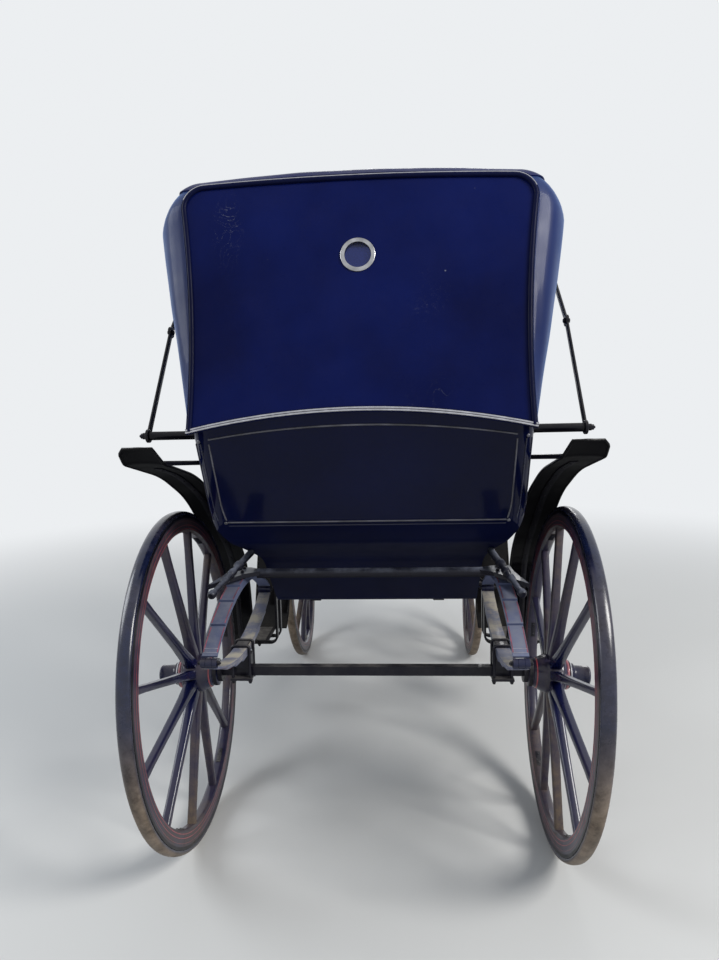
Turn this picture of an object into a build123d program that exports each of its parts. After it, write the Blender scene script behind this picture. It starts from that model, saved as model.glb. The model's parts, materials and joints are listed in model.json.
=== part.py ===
"""Four-wheeled open carriage with a folding leather hood, a coachman's seat and shafts.

Sizes are in millimetres. +Y is forward, +X is the right-hand side, +Z is up and the
ground is at Z = 0. Places along Y are measured from the rear axle, and the whole
carriage is moved by rear_axle_y when its pieces are written.
"""
from build123d import *
import math
import os

rear_axle_y = -1850.0

# Wheels
rear_wheel_radius = 550.0
front_wheel_radius = 430.0
rear_half_track = 618.0
front_half_track = 500.0
wheelbase = 1720.0
camber = 3.2
rear_spokes = 12
front_spokes = 10
spoke_turn = 16.0
dish = 26.0
tyre_width = 40.0
tyre_depth = 26.0
tyre_crown = 8.0
felloe_width = 40.0
felloe_depth = 48.0
felloe_chamfer = 7.0
# Spoke stations: share of its length, half-depth, half-width and how far its corners are cut
spoke_stations = [
    (0.0, 19.0, 14.0, 0.3),
    (0.12, 18.0, 14.5, 0.4),
    (0.3, 15.5, 13.0, 0.55),
    (1.0, 13.0, 11.5, 0.55),
]
nave_radius = 62.0
nave_end_radius = 42.0
nave_inner = 105.0
nave_outer = 30.0
cap_radius = 30.0
cap_end = 94.0
ring_radius = 38.0
bearing_gap = 0.3
thrust_gap = 0.5

# Axles
axle_section = 30.0
axle_rise = 13.0
arm_radius = 16.0
arm_reach = 45.0
collar_radius = 32.0
collar_length = 14.0
rear_pad_height = 43.0
front_pad_height = 8.0
pad_length = 46.0

# Springs
spring_width = 45.0
leaf = 7.0
eye_radius = 14.0
rear_spring_x = 430.0
rear_lower_rise = 75.0
rear_upper_rise = 110.0
rear_leaf_reach = (385.0, 282.0, 178.0, 88.0)
front_spring_x = 330.0
front_lower_rise = 95.0
front_upper_rise = 95.0
front_leaf_reach = (355.0, 275.0, 195.0, 115.0)
clip_bar = 10.0
clip_plate = 8.0

# Body tub, side view from the back rail round the bottom to the front
wall = 20.0
rail_z = 1376.0
rail_crown = 54.0
rail_flat_from = 484.0
rail_crown_to = -255.0
tub_half_width = 492.0
tub_half_bottom = 396.0
tub_swell = (850.0, 1160.0)
back_foot = (-128.0, 1085.0)
back_lean = 28.0
back_margin = 0.2
under_foot = (-40.0, 1000.0)
seat_foot = (230.0, 890.0)
floor_z = 655.0
floor_from = 480.0
floor_to = 940.0
front_knee = (1085.0, 800.0)
front_top_z = 965.0
entrance_path = [(470.0, 1190.0), (600.0, 900.0), (690.0, 738.0), (960.0, 738.0), (1040.0, 800.0)]
entrance_radii = [60, 130, 260, 260, 80, 70, 90, 12]
corner_radius = 62.0

main_iron_x = 250.0
main_iron = (44.0, 10.0)

# Seat inside the tub
seat_z = 1022.0
seat_board = 20.0
seat_front = 520.0
cushion_height = 105.0
cushion_half = 425.0
squab_depth = 85.0

# Hood sections: foot's place along Y, top's place along Y, height over the rail, half-widths
# at foot, middle and shoulder, shoulder radius and roof crown
hood_leather = 12.0
hood_sections = [
    (-322.0, -150.0, 720.0, 482.0, 482.0, 512.0, 70.0, 12.0),
    (-278.0, -118.0, 739.0, 488.0, 532.0, 566.0, 112.0, 18.0),
    (-190.0, -45.0, 756.0, 492.0, 556.0, 600.0, 150.0, 26.0),
    (0.0, 330.0, 792.0, 492.0, 566.0, 602.0, 155.0, 40.0),
    (160.0, 770.0, 738.0, 492.0, 560.0, 592.0, 150.0, 44.0),
]
bow_rows = (2, 3, 4)
bow_depth = 22.0
bow_width = 24.0
bow_gap = 2.0
window_z = 1862.0
window_radius = 38.0
window_ring = 50.0
window_glass = 4.0

# Hood irons on each side
prop_y = -170.0
prop_drop = 15.0
prop_radius = 13.0
prop_end = 663.0
strut_x = 648.0
strut_knuckle = (88.0, 317.0)
strut_top = (300.0, 492.0)
strut_width = 22.0
strut_thickness = 9.0
knuckle_radius = 19.0

# Wings and steps
wing_sheet = 6.0
wing_inner = 545.0
wing_outer = 658.0
wing_path = [(-385.0, 1336.0), (-343.0, 1290.0), (-60.0, 1228.0), (178.0, 1128.0),
             (610.0, 800.0), (672.0, 440.0), (745.0, 394.0)]
wing_radii = [40.0, 900.0, 700.0, 420.0, 60.0]
wing_tip_slant = 17.0
wing_tip_clip = 15.0
front_wing_inner = 452.0
front_wing_outer = 612.0
front_wing_path = [(945.0, 394.0), (1030.0, 452.0), (1175.0, 810.0), (1420.0, 985.0),
                   (1800.0, 1012.0), (2080.0, 950.0)]
front_wing_radii = [110.0, 420.0, 260.0, 600.0]
step_z = 394.0
step_sheet = 12.0
step_from = 745.0
step_to = 945.0
step_inner = 500.0
step_outer = 706.0
step_iron_y = (775.0, 862.0)
step_iron_x = 462.0
step_iron = (26.0, 9.0)
stay_radius = 7.0
rear_stay = ((-165.0, 1277.0), (-332.0, 1291.0))
front_stay_y = (1500.0, 1860.0)

# Rear cross-bar and body irons
cross_bar_radius = 16.0
cross_plate = 14.0
cross_block = 5.0
body_iron_from = (402.0, 60.0, 950.0)
body_iron_to = (457.0, -254.0, 887.0)

# Coachman's seat over the front wheels
deck_z = 905.0
deck_board = 18.0
deck_half_width = 352.0
deck_path = [(1091.0, 914.0), (1990.0, 914.0), (2170.0, 1030.0)]
deck_radius = 90.0
boot_half_width = 300.0
boot_from = 1160.0
boot_to = 1660.0
boot_top = 1240.0
box_board_half = 430.0
box_from = 1150.0
box_to = 1680.0
box_cushion_height = 95.0
box_rail_z = 1420.0
box_rail_radius = 8.0
lamp_x = 452.0
lamp_y = 1400.0
lamp_bore = 9.5
lamp_tube = 14.0
lamp_length = 56.0
dash_path = [(2168.0, 1034.0), (2200.0, 1190.0), (2185.0, 1470.0)]
dash_half_width = 415.0

# Fore-carriage that steers under the deck
plate_radius = 262.0
plate_ring = 46.0
plate_thickness = 14.0
turn_gap = 0.5
bed_depth = 80.0
bed_height = 68.0
bed_half = 372.0
king_radius = 16.0
futchell_x = 200.0
futchell = (44.0, 45.0)
futchell_from = 1480.0
futchell_to = 2240.0
splinter_y = 2205.0
splinter = (70.0, 50.0)
splinter_half = 590.0
trace_x = 500.0
trace_radius = 11.0
trace_height = 62.0
lug_reach = 18.5
lug_thickness = 9.0

# Shafts, resting on the ground at their tips
shaft_hinge_y = 2296.0
shaft_hinge_x = 312.0
shaft_bolt_radius = 10.0
shaft_radius = 21.0
shaft_eye = 21.0
shaft_bend = (2600.0, 640.0)
shaft_ground_y = 3860.0
shaft_tip_x = 268.0
shaft_tip_y = 4250.0
tie_bar_y = 2700.0
tie_bar_radius = 15.0


def side_plane(x):
    """Plane at a given X, its own x along +Y and its y along +Z."""
    return Plane(origin=(x, 0, 0), x_dir=(0, 1, 0), z_dir=(1, 0, 0))


def both_sides(shape):
    """A right-hand piece and its mirror image on the left."""
    return [shape, mirror(shape, about=Plane.YZ)]


def block(x, y, z):
    """Box between two corners given as ranges."""
    size = [high - low for low, high in (x, y, z)]
    centre = [(high + low) / 2 for low, high in (x, y, z)]
    return Pos(*centre) * Box(*size)


def turned(points):
    """Solid turned about X from (place along X, radius) points."""
    outline = Polyline(*[(along, 0, radius) for along, radius in points], close=True)
    return revolve(make_face(outline), Axis.X)


def turned_between(start, end, steps):
    """Solid turned about the line from start to end, from (fraction, radius) steps."""
    start, end = Vector(*start), Vector(*end)
    run = end - start
    points = [(0, 0)] + [(radius, share * run.length) for share, radius in steps]
    outline = Polyline(*[(r, 0, z) for r, z in points + [(0, run.length)]], close=True)
    solid = revolve(make_face(outline), Axis.Z)
    return Plane(origin=start, z_dir=run).location * solid


def rod(start, end, radius):
    """Round rod between two points."""
    return turned_between(start, end, [(0, radius), (1, radius)])


def flat_bar(start, end, width, thickness):
    """Flat bar between two points, its thickness as near along X as it can be."""
    start, end = Vector(*start), Vector(*end)
    run = end - start
    across = Vector(1, 0, 0)
    across = (across - run * (across.dot(run) / run.length ** 2)).normalized()
    plane = Plane(origin=(start + end) / 2, x_dir=across, z_dir=run)
    return plane.location * Box(thickness, width, run.length)


def strip(points, radii, thickness, x_from, x_to):
    """Sheet or board that follows a side-view path, across a range of X."""
    path = FilletPolyline(*points, radius=radii)
    face = trace(path, line_width=thickness)
    return extrude(side_plane(x_from) * face, amount=x_to - x_from)


def wheel_centre_z(radius):
    """Height of a leaning wheel's centre with the crown of its tread on the ground."""
    return radius * math.cos(math.radians(camber))


def at_wheel(shape, radius, half_track, y):
    """Right-hand wheel piece from the wheel's own frame to its place."""
    return Pos(half_track, y, wheel_centre_z(radius)) * Rot(0, camber, 0) * shape


def tyre(radius):
    """Rubber tyre with a crowned tread, turned about X."""
    half = tyre_width / 2
    inner = radius - tyre_depth
    shoulder = radius - tyre_crown
    return turned([(-half, inner), (-half, shoulder), (0, radius), (half, shoulder), (half, inner)])


def spoke(inner, outer):
    """One spoke along +Z, square at its root, eight-sided above, leaning by the dish."""
    start, end = Vector(-dish, 0, inner), Vector(0, 0, outer)
    along = (end - start).normalized()
    across = Vector(along.Z, 0, -along.X)
    sections = []
    for share, deep, wide, cut in spoke_stations:
        plane = Plane(origin=start + (end - start) * share, x_dir=across, z_dir=along)
        corner = (deep * (1 - cut), wide * (1 - cut))
        outline = [(deep, corner[1]), (corner[0], wide), (-corner[0], wide), (-deep, corner[1]),
                   (-deep, -corner[1]), (-corner[0], -wide), (corner[0], -wide), (deep, -corner[1])]
        sections.append(plane * make_face(Polyline(*outline, close=True)))
    return loft(sections, ruled=True)


def wooden_wheel(radius, count):
    """Felloe, spokes and nave of one wheel, with the bore for the axle arm."""
    top = radius - tyre_depth
    low = top - felloe_depth
    half = felloe_width / 2
    cut = felloe_chamfer
    bore = arm_radius + bearing_gap
    wheel = turned([(-half, low + cut), (-half, top), (half, top), (half, low + cut),
                    (half - cut, low), (cut - half, low)])
    wheel += turned([
        (-nave_inner, bore), (-nave_inner, nave_end_radius), (-nave_inner + 16, nave_end_radius),
        (-nave_inner + 24, nave_end_radius + 5), (-dish - 26, nave_radius),
        (-dish + 26, nave_radius), (nave_outer, ring_radius), (nave_outer, bore)])
    for index in range(count):
        turn = Rot(360 / count * index - spoke_turn, 0, 0)
        wheel += turn * spoke(nave_radius - 10, low + 14)
    return wheel


def hub_cap():
    """Metal ring and long cylindrical cap on the nave's outer end."""
    bore = arm_radius + bearing_gap
    inside = arm_reach + 2 * thrust_gap
    return turned([(nave_outer, bore), (nave_outer, ring_radius), (nave_outer + 8, ring_radius),
                   (nave_outer + 11, cap_radius + 2), (nave_outer + 17, cap_radius + 2),
                   (nave_outer + 18, cap_radius), (cap_end - 4, cap_radius),
                   (cap_end, cap_radius - 4), (cap_end, 0), (inside, 0), (inside, bore)])


def axle(radius, half_track, spring_x, pad_height, y):
    """Axle beam with spring pads, collars and the two arms that the wheels turn on."""
    hub_z = wheel_centre_z(radius)
    beam_z = hub_z + axle_rise
    half = axle_section / 2
    end = nave_inner + thrust_gap
    beam_end = half_track - end - collar_length / 2
    solid = block((-beam_end, beam_end), (y - half, y + half), (beam_z - half, beam_z + half))
    arm = turned([(-end - collar_length, 0), (-end - collar_length, collar_radius),
                  (-end, collar_radius), (-end, arm_radius), (arm_reach, arm_radius),
                  (arm_reach, 0)])
    pad = block((spring_x - 30, spring_x + 30), (y - pad_length / 2, y + pad_length / 2),
                (beam_z + half, beam_z + half + pad_height))
    for piece in both_sides(at_wheel(arm, radius, half_track, y)) + both_sides(pad):
        solid += piece
    return solid


def pad_top(radius, pad_height):
    """Top of the spring pads on an axle."""
    return wheel_centre_z(radius) + axle_rise + axle_section / 2 + pad_height


def leaf_half(reaches, rise):
    """Lower half of an elliptic spring in side view, its main leaf's top at the origin."""
    arc_radius = (reaches[0] ** 2 + rise ** 2) / (2 * rise)
    half = None
    for index, reach in enumerate(reaches):
        inner = arc_radius + index * leaf
        outer = inner + leaf
        turn = math.asin(reach / inner)
        ring = Pos(0, arc_radius) * (Circle(outer) - Circle(inner))
        far = 2 * outer
        wedge = Pos(0, arc_radius) * make_face(Polyline(
            (0, 0), (-far * math.tan(turn), -far), (far * math.tan(turn), -far), close=True))
        piece = ring & wedge
        half = piece if half is None else half + piece
    return half


def elliptic_spring(x, y, base_z, reaches, lower_rise, upper_rise):
    """Two curved stacks of leaves, joined by eye bolts at their ends."""
    main_z = base_z + leaf * len(reaches)
    eye_z = main_z + lower_rise + eye_radius * 0.8
    upper_main_z = eye_z + eye_radius * 0.8 + upper_rise
    upper = mirror(leaf_half(reaches, upper_rise), about=Plane((0, 0, 0), z_dir=(0, 1, 0)))
    face = Pos(y, main_z) * leaf_half(reaches, lower_rise) + Pos(y, upper_main_z) * upper
    for end in (-1, 1):
        face += Pos(y + end * (reaches[0] + 4), eye_z) * Circle(eye_radius)
    solid = extrude(side_plane(x - spring_width / 2) * face, amount=spring_width)
    return solid


def spring_top(base_z, reaches, lower_rise, upper_rise):
    """Height of an elliptic spring's top surface."""
    stacks = 2 * leaf * len(reaches)
    return base_z + stacks + lower_rise + upper_rise + eye_radius * 1.6


def spring_clips(x, y, radius, pad_height, leaves):
    """Two U-bolts over the lower leaves and the plate under the axle."""
    base_z = pad_top(radius, pad_height)
    under = base_z - pad_height - axle_section
    top = base_z + leaf * leaves + 1.2
    inner = spring_width / 2 + 1
    outer = inner + clip_bar
    clips = block((x - outer - 3, x + outer + 3), (y - 42, y + 42),
                  (under - bearing_gap - clip_plate, under - bearing_gap))
    for side_y in (-1, 1):
        centre = y + side_y * 30
        across = (centre - clip_bar / 2, centre + clip_bar / 2)
        clips += block((x - outer, x + outer), across, (top, top + clip_bar))
        for side_x in (-1, 1):
            reach = sorted((x + side_x * inner, x + side_x * outer))
            clips += block(reach, across, (under - clip_plate - 12, top + 1))
    return clips


def back_line(z):
    """Place along Y of the leaning back panel's outside at a height."""
    return back_foot[0] - math.tan(math.radians(back_lean)) * (z - back_foot[1])


def tub_outline():
    """Side view of the tub with its back and front walls carried up past the top."""
    high = rail_z + 300
    points = [(back_line(high), high), back_foot, under_foot, seat_foot, (floor_from, floor_z),
              (floor_to, floor_z), front_knee, (front_knee[0] + 40, high)]
    outline = FilletPolyline(*points, radius=[90, 90, 200, 120, 150, 130])
    return make_face(outline + Line(points[-1], points[0]))


def rail_height(x):
    """Height of the crowned back rail at a distance from the middle."""
    radius = (rail_flat_from ** 2 + rail_crown ** 2) / (2 * rail_crown)
    return rail_z + rail_crown - radius + math.sqrt(radius ** 2 - x ** 2)


def tub_section(inset):
    """Cross-section of the tub, wider above than below, inset by the wall for its inside."""
    half = tub_half_width - inset
    low = tub_half_bottom - inset
    high = rail_z if inset == 0 else 1.5 * rail_z
    swell_from, swell_to = tub_swell
    middle = ((low + half) / 2, (swell_from + swell_to) / 2)
    under = floor_z - 50
    right = Line((0, under, 0), (low, under, 0)) + Line((low, under, 0), (low, swell_from, 0))
    right += TangentArc((low, swell_from, 0), (*middle, 0), tangent=(0, 1, 0))
    right += TangentArc((half, swell_to, 0), (*middle, 0), tangent=(0, -1, 0))
    right += Line((half, swell_to, 0), (half, high, 0))
    if inset:
        top = Line((half, high, 0), (0, high, 0))
    else:
        top = Line((half, high, 0), (rail_flat_from, high, 0)) + ThreePointArc(
            *[(x, rail_height(x), 0) for x in (rail_flat_from, rail_flat_from / 2, 0)])
    edges = right + top
    left = mirror(edges, about=Plane.YZ)
    return Plane.XZ * make_face(edges + left)


def slanted_plan(inset):
    """Plan of the tub with rounded rear corners, carried up along the lean of its back."""
    lean = math.radians(back_lean)
    low = floor_z - 150
    front = 2 * front_knee[0]
    half = tub_half_width - inset
    rear = back_line(low) + (inset - back_margin) / math.cos(lean)
    points = [(half, front), (half, rear), (-half, rear), (-half, front)]
    outline = FilletPolyline(*points, radius=corner_radius - inset)
    face = Pos(0, 0, low) * make_face(outline + Line(points[-1], points[0]))
    return extrude(face, amount=1.3 * rail_z, dir=(0, -math.sin(lean), math.cos(lean)))


def entrance_cut():
    """What is cut away above the arms and the low side entrance."""
    high = 1.4 * rail_z
    front = front_knee[0] + 400
    points = [(60, high), (130, rail_z), (300, rail_z - 18), *entrance_path,
              (front_knee[0] - 23, front_top_z), (front, front_top_z)]
    outline = FilletPolyline(*points, radius=entrance_radii)
    outline += Polyline(points[-1], (front, high), points[0])
    wide = 1.5 * tub_half_width
    return extrude(side_plane(-wide) * make_face(outline), amount=2 * wide)


def tub_form(outline, inset):
    """Solid of the tub's outside, or of its inside where inset by the wall."""
    wide = 1.2 * tub_half_width
    ahead = 1.3 * front_knee[0]
    form = extrude(side_plane(-wide) * outline, amount=2 * wide)
    form &= Pos(0, ahead, 0) * extrude(tub_section(inset), amount=2 * ahead)
    return form & slanted_plan(inset)


def tub_solids():
    """Tub shell and the solid of its inside."""
    outline = tub_outline()
    inside = tub_form(offset(outline, amount=-wall), wall)
    wide = 1.5 * tub_half_width
    over_sides = block((-wide, wide), (rail_crown_to, front_knee[0]), (rail_z, 1.2 * rail_z))
    return tub_form(outline, 0) - inside - entrance_cut() - over_sides, inside


def bench(inside):
    """Seat board and the riser panel under its front edge."""
    board = block((-600, 600), (-400, seat_front), (seat_z - seat_board, seat_z))
    riser = block((-600, 600), (seat_front - seat_board, seat_front), (600, seat_z - seat_board))
    return (board + riser) & inside


def squabs(inside):
    """Padded back and the two padded arms inside the tub."""
    low, high = seat_z + cushion_height + 2, rail_z - 2
    depth = squab_depth + wall
    back = side_plane(-600) * make_face(Polyline(
        (back_line(low), low), (back_line(low) + depth, low), (back_line(high) + depth, high),
        (back_line(high), high), close=True))
    back = extrude(back, amount=1200) & inside
    arm_top = rail_z - 30
    arm = side_plane(432) * make_face(Polyline(
        (back_line(low) + depth + 2, low), (430, low), (430, low + 60), (330, rail_z - 60),
        (back_line(arm_top) + depth + 2, arm_top), close=True))
    arm = extrude(arm, amount=60) & inside
    return back, both_sides(arm)


def cushion(half, y, z, edge):
    """Loose cushion with rounded edges."""
    solid = block((-half, half), y, z)
    return fillet(solid.edges(), edge)


def hood_plane(row, shift):
    """Plane of one hood section, its own y along the slope from foot to top."""
    foot_y, top_y, rise = row[:3]
    return Plane(origin=(0, foot_y + shift, rail_z), x_dir=(1, 0, 0), z_dir=(0, -rise, top_y - foot_y))


def hood_outline(row, inset, drop):
    """Face of one hood section in its own plane, inset and carried below its foot."""
    foot_y, top_y, rise, *sizes, crown = row
    foot, middle, top, shoulder = [size - inset for size in sizes]
    height = math.hypot(top_y - foot_y, rise) - inset
    side = height - crown - shoulder
    bend = shoulder * (1 - math.sqrt(0.5))
    right = ThreePointArc((foot, 0), (middle, side / 2), (top, side))
    right += ThreePointArc((top, side), (top - bend, side + shoulder - bend),
                           (top - shoulder, height - crown))
    edges = right + mirror(right, about=Plane.YZ)
    edges += ThreePointArc((top - shoulder, height - crown), (0, height),
                           (shoulder - top, height - crown))
    if drop:
        edges += Line((foot, 0), (foot, -drop)) + Line((-foot, 0), (-foot, -drop))
    return make_face(edges + Line((-foot, -drop), (foot, -drop)))


def hood():
    """Leather hood with an open front and the solid of its outside."""
    outer = loft([hood_plane(row, 0) * hood_outline(row, 0, 0) for row in hood_sections], ruled=True)
    shifts = [hood_leather * 1.04, hood_leather / 2, 0, 0, 5 * hood_leather]
    inner = loft([hood_plane(row, shift) * hood_outline(row, hood_leather, 60)
                  for row, shift in zip(hood_sections, shifts)], ruled=True)
    crown = ThreePointArc(*[(x, rail_height(abs(x))) for x in (-rail_flat_from, 0, rail_flat_from)])
    segment = Plane.XZ * make_face(crown + Line((-rail_flat_from, rail_z), (rail_flat_from, rail_z)))
    below = Pos(0, -200, 0) * extrude(segment, amount=300)
    return outer - inner - below - at_window(Cylinder(window_radius + 3, 100)), outer


def at_window(shape):
    """Piece from the window's own frame, its +Z pointing out of the back panel."""
    foot_y, top_y, rise = hood_sections[0][:3]
    height = math.hypot(top_y - foot_y, rise) * (window_z - rail_z) / rise
    return hood_plane(hood_sections[0], 0).location * Pos(0, height, 0) * shape


def window_frame():
    """Metal ring on the leather with a sleeve through it."""
    ring = Pos(0, 0, 3) * Cylinder(window_ring, 6)
    ring += Pos(0, 0, -hood_leather / 2) * Cylinder(window_radius + 3, hood_leather)
    return at_window(fillet(ring.edges().group_by(Axis.Z)[-1], 2) - Cylinder(window_radius, 60))


def hood_frame():
    """Three bows under the leather, joined at each side by a slat iron on the rail."""
    inset = hood_leather + bow_gap
    frame = None
    for index, start in zip(bow_rows, (0, -0.5, -1)):
        row = hood_sections[index]
        face = hood_outline(row, inset, 0) - hood_outline(row, inset + bow_depth, 10)
        bow = extrude(hood_plane(row, start * bow_width) * face, amount=bow_width, dir=(0, 1, 0))
        frame = bow if frame is None else frame + bow
    foot = tub_half_width - inset
    first, last = [hood_sections[index][0] for index in (bow_rows[0], bow_rows[-1])]
    slat = block((foot - bow_depth, foot - 6), (first - 2, last + 22), (rail_z, rail_z + bow_depth))
    for piece in both_sides(slat):
        frame += piece
    return frame


def prop_iron():
    """Round prop iron that stands out of the tub's rail."""
    prop_z = rail_z - prop_drop
    return turned_between((tub_half_width, prop_y, prop_z), (prop_end, prop_y, prop_z), [
        (0, prop_radius + 2), (0.05, prop_radius + 2), (0.05, prop_radius), (0.9, prop_radius),
        (0.9, prop_radius - 3), (1, prop_radius - 3)])


def joint_iron(hood_form):
    """Two-part hood iron with an eye on the prop iron, a knuckle and a stud in the hood."""
    foot = (strut_x, prop_y, rail_z - prop_drop)
    knuckle, top = [(strut_x, y, rail_z + rise) for y, rise in (strut_knuckle, strut_top)]
    iron = flat_bar(foot, knuckle, strut_width, strut_thickness)
    iron += flat_bar(knuckle, top, strut_width, strut_thickness)
    for place, radius in ((foot, prop_radius + 8), (knuckle, knuckle_radius), (top, strut_width / 2)):
        iron += Pos(*place) * Rot(0, 90, 0) * Cylinder(radius, strut_thickness)
    iron += Pos(*knuckle) * Rot(0, 90, 0) * Cylinder(9, strut_thickness + 12)
    iron -= Pos(*foot) * Rot(0, 90, 0) * Cylinder(prop_radius, 4 * strut_thickness)
    return iron + rod((0.9 * strut_x, top[1], top[2]), top, 9) - hood_form


def step_hanger(y):
    """Flat iron from under the tub down and out beneath the step."""
    width, thickness = step_iron
    under = floor_z - thickness / 2
    tread = step_z - step_sheet / 2 - thickness / 2
    path = FilletPolyline((380, under), (step_iron_x, under), (step_iron_x, tread),
                          (step_outer - 16, tread), radius=[26, 30])
    face = Plane.XZ * trace(path, line_width=thickness)
    return Pos(0, y + width / 2, 0) * extrude(face, amount=width)


def rear_wing(step):
    """Right-hand rear wing, the corners of its raised end cut back."""
    sheet = strip(wing_path, wing_radii, wing_sheet, wing_inner, wing_outer) - step
    (top_y, top_z), (fold_y, fold_z) = wing_path[:2]
    above = top_z + 20
    slant = Polyline((wing_inner, fold_z), (wing_inner - 40, above), (
        wing_inner + wing_tip_slant * (above - fold_z) / (top_z - fold_z), above), close=True)
    clip = Polyline((wing_outer + 20, top_z - wing_tip_clip - 20), (wing_outer + 20, above),
                    (wing_outer - wing_tip_clip - 20, above), close=True)
    for outline in (slant, clip):
        sheet -= Pos(0, fold_y, 0) * extrude(Plane.XZ * make_face(outline), amount=2 * (fold_y - top_y))
    return sheet


def wing_stay(wing, tub_outside):
    """Round stay from the tub back and out to the rear wing's fold."""
    start, end = rear_stay
    return rod((tub_half_width - 4, *start), (wing_inner + 2, *end), stay_radius) - wing - tub_outside


def front_stays(wing, deck):
    """Round stays from the deck's edge up to the front wing."""
    stays = []
    for y in front_stay_y:
        foot = (deck_half_width - 2, y, deck_z + deck_board / 2)
        stay = rod(foot, (front_wing_inner + 12, y, deck_z + 160), stay_radius) - wing - deck
        stays += both_sides(min(stay.solids(), key=lambda solid: solid.center().Z))
    return stays


def cross_bar():
    """Bar across the rear springs, round in the middle and flat at its horned ends."""
    top = spring_top(pad_top(rear_wheel_radius, rear_pad_height), rear_leaf_reach,
                     rear_lower_rise, rear_upper_rise)
    low = top + cross_block
    x = rear_spring_x
    plan = make_face(Polyline((x - 72, -14), (x - 30, -44), (x + 2, -100), (x + 56, -190),
                              (x + 44, -110), (x + 34, -34), (x + 32, 44), (x - 30, 44),
                              (x - 72, 14), close=True))
    plate = Pos(0, 0, low) * extrude(plan, amount=cross_plate)
    seat = block((x - 26, x + 26), (-40, 40), (top, low))
    bar = rod((-x + 60, 0, low + 4), (x - 60, 0, low + 4), cross_bar_radius)
    for piece in both_sides(plate) + both_sides(seat):
        bar += piece
    return bar, low + cross_plate


def body_iron(tub_outside, plate_top):
    """Moulded iron from under the tub back over the cross-bar, with a ball at its tip."""
    iron = turned_between(body_iron_from, body_iron_to, [
        (0, 13), (0.3, 11), (0.33, 16), (0.37, 16), (0.4, 10), (0.62, 9), (0.65, 13), (0.69, 13),
        (0.72, 9), (0.91, 9), (0.94, 13), (0.98, 13)])
    y = -100.0
    share = (y - body_iron_from[1]) / (body_iron_to[1] - body_iron_from[1])
    x, z = [a + (b - a) * share for a, b in zip(body_iron_from, body_iron_to)][::2]
    return iron + rod((x, y, plate_top), (x, y, z), 8) - tub_outside


def box_seat():
    """Open boot under the coachman's seat, its board and the rail round three sides."""
    deck_top = deck_z + deck_board
    boot = block((-boot_half_width, boot_half_width), (boot_from, boot_to), (deck_top, boot_top))
    boot = fillet(boot.edges().filter_by(Axis.Z), 34)
    room = block((wall - boot_half_width, boot_half_width - wall),
                 (boot_from + wall, boot_to - wall), (deck_top + wall, boot_top))
    board = block((-box_board_half, box_board_half), (box_from, box_to), (boot_top, boot_top + deck_board))
    board = fillet(board.edges().filter_by(Axis.Z), 50)
    side, back = box_board_half - 14, box_from + 16
    path = FilletPolyline((side, box_to - 120, box_rail_z), (side, back, box_rail_z),
                          (-side, back, box_rail_z), (-side, box_to - 120, box_rail_z), radius=60)
    rail = sweep(Plane(path @ 0, z_dir=path % 0) * Circle(box_rail_radius), path=path)
    base = boot_top + deck_board
    for x, y in ((side, box_to - 140), (side - 130, back)):
        for post in both_sides(rod((x, y, base), (x, y, box_rail_z), box_rail_radius - 1)):
            rail += post
    return boot - room, board, rail


def lamp_socket():
    """Upright tube beside the coachman's seat that a carriage lamp's stem drops into."""
    top = boot_top + deck_board
    centre = Pos(lamp_x, lamp_y, top - lamp_length / 2)
    arm = block((box_board_half, lamp_x), (lamp_y - 9, lamp_y + 9), (boot_top, top))
    return arm + centre * Cylinder(lamp_tube, lamp_length) - centre * Cylinder(lamp_bore, lamp_length)


def turntable(z, arms):
    """Flat ring with two crossed arms and the king-pin hole."""
    disc = Cylinder(plate_radius, plate_thickness) - Cylinder(plate_radius - plate_ring, plate_thickness)
    for turn in arms:
        disc += Rot(0, 0, turn) * Box(2 * plate_radius - plate_ring, plate_ring, plate_thickness)
    disc -= Cylinder(king_radius + bearing_gap, 2 * plate_thickness)
    return Pos(0, wheelbase, z + plate_thickness / 2) * disc


def front_bed(z_low, z_high, half):
    """Wooden cross-bed with the king-pin hole."""
    bed = block((-half, half), (wheelbase - bed_depth / 2, wheelbase + bed_depth / 2), (z_low, z_high))
    hole = Pos(0, wheelbase, (z_low + z_high) / 2) * Cylinder(king_radius + bearing_gap, 400)
    return bed - hole


def king_pin(bed_z):
    """Upright pin from the deck down through both beds, with its nut under the lower one."""
    nut_top = bed_z - turn_gap
    pin = block_cylinder(king_radius, nut_top - 22, deck_z)
    return Pos(0, wheelbase, 0) * (pin + block_cylinder(king_radius + 10, nut_top - 16, nut_top))


def block_cylinder(radius, low, high):
    """Upright cylinder between two heights."""
    return Pos(0, 0, (low + high) / 2) * Cylinder(radius, high - low)


def main_irons():
    """Flat irons that hug the tub's floor and front up to the deck."""
    outline = tub_outline()
    band = offset(outline, amount=main_iron[1]) - outline
    window = Pos(floor_from + 450, deck_z - 200) * Rectangle(800, 400)
    x = main_iron_x - main_iron[0] / 2
    return extrude(side_plane(x) * (band & window), amount=main_iron[0])


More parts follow.
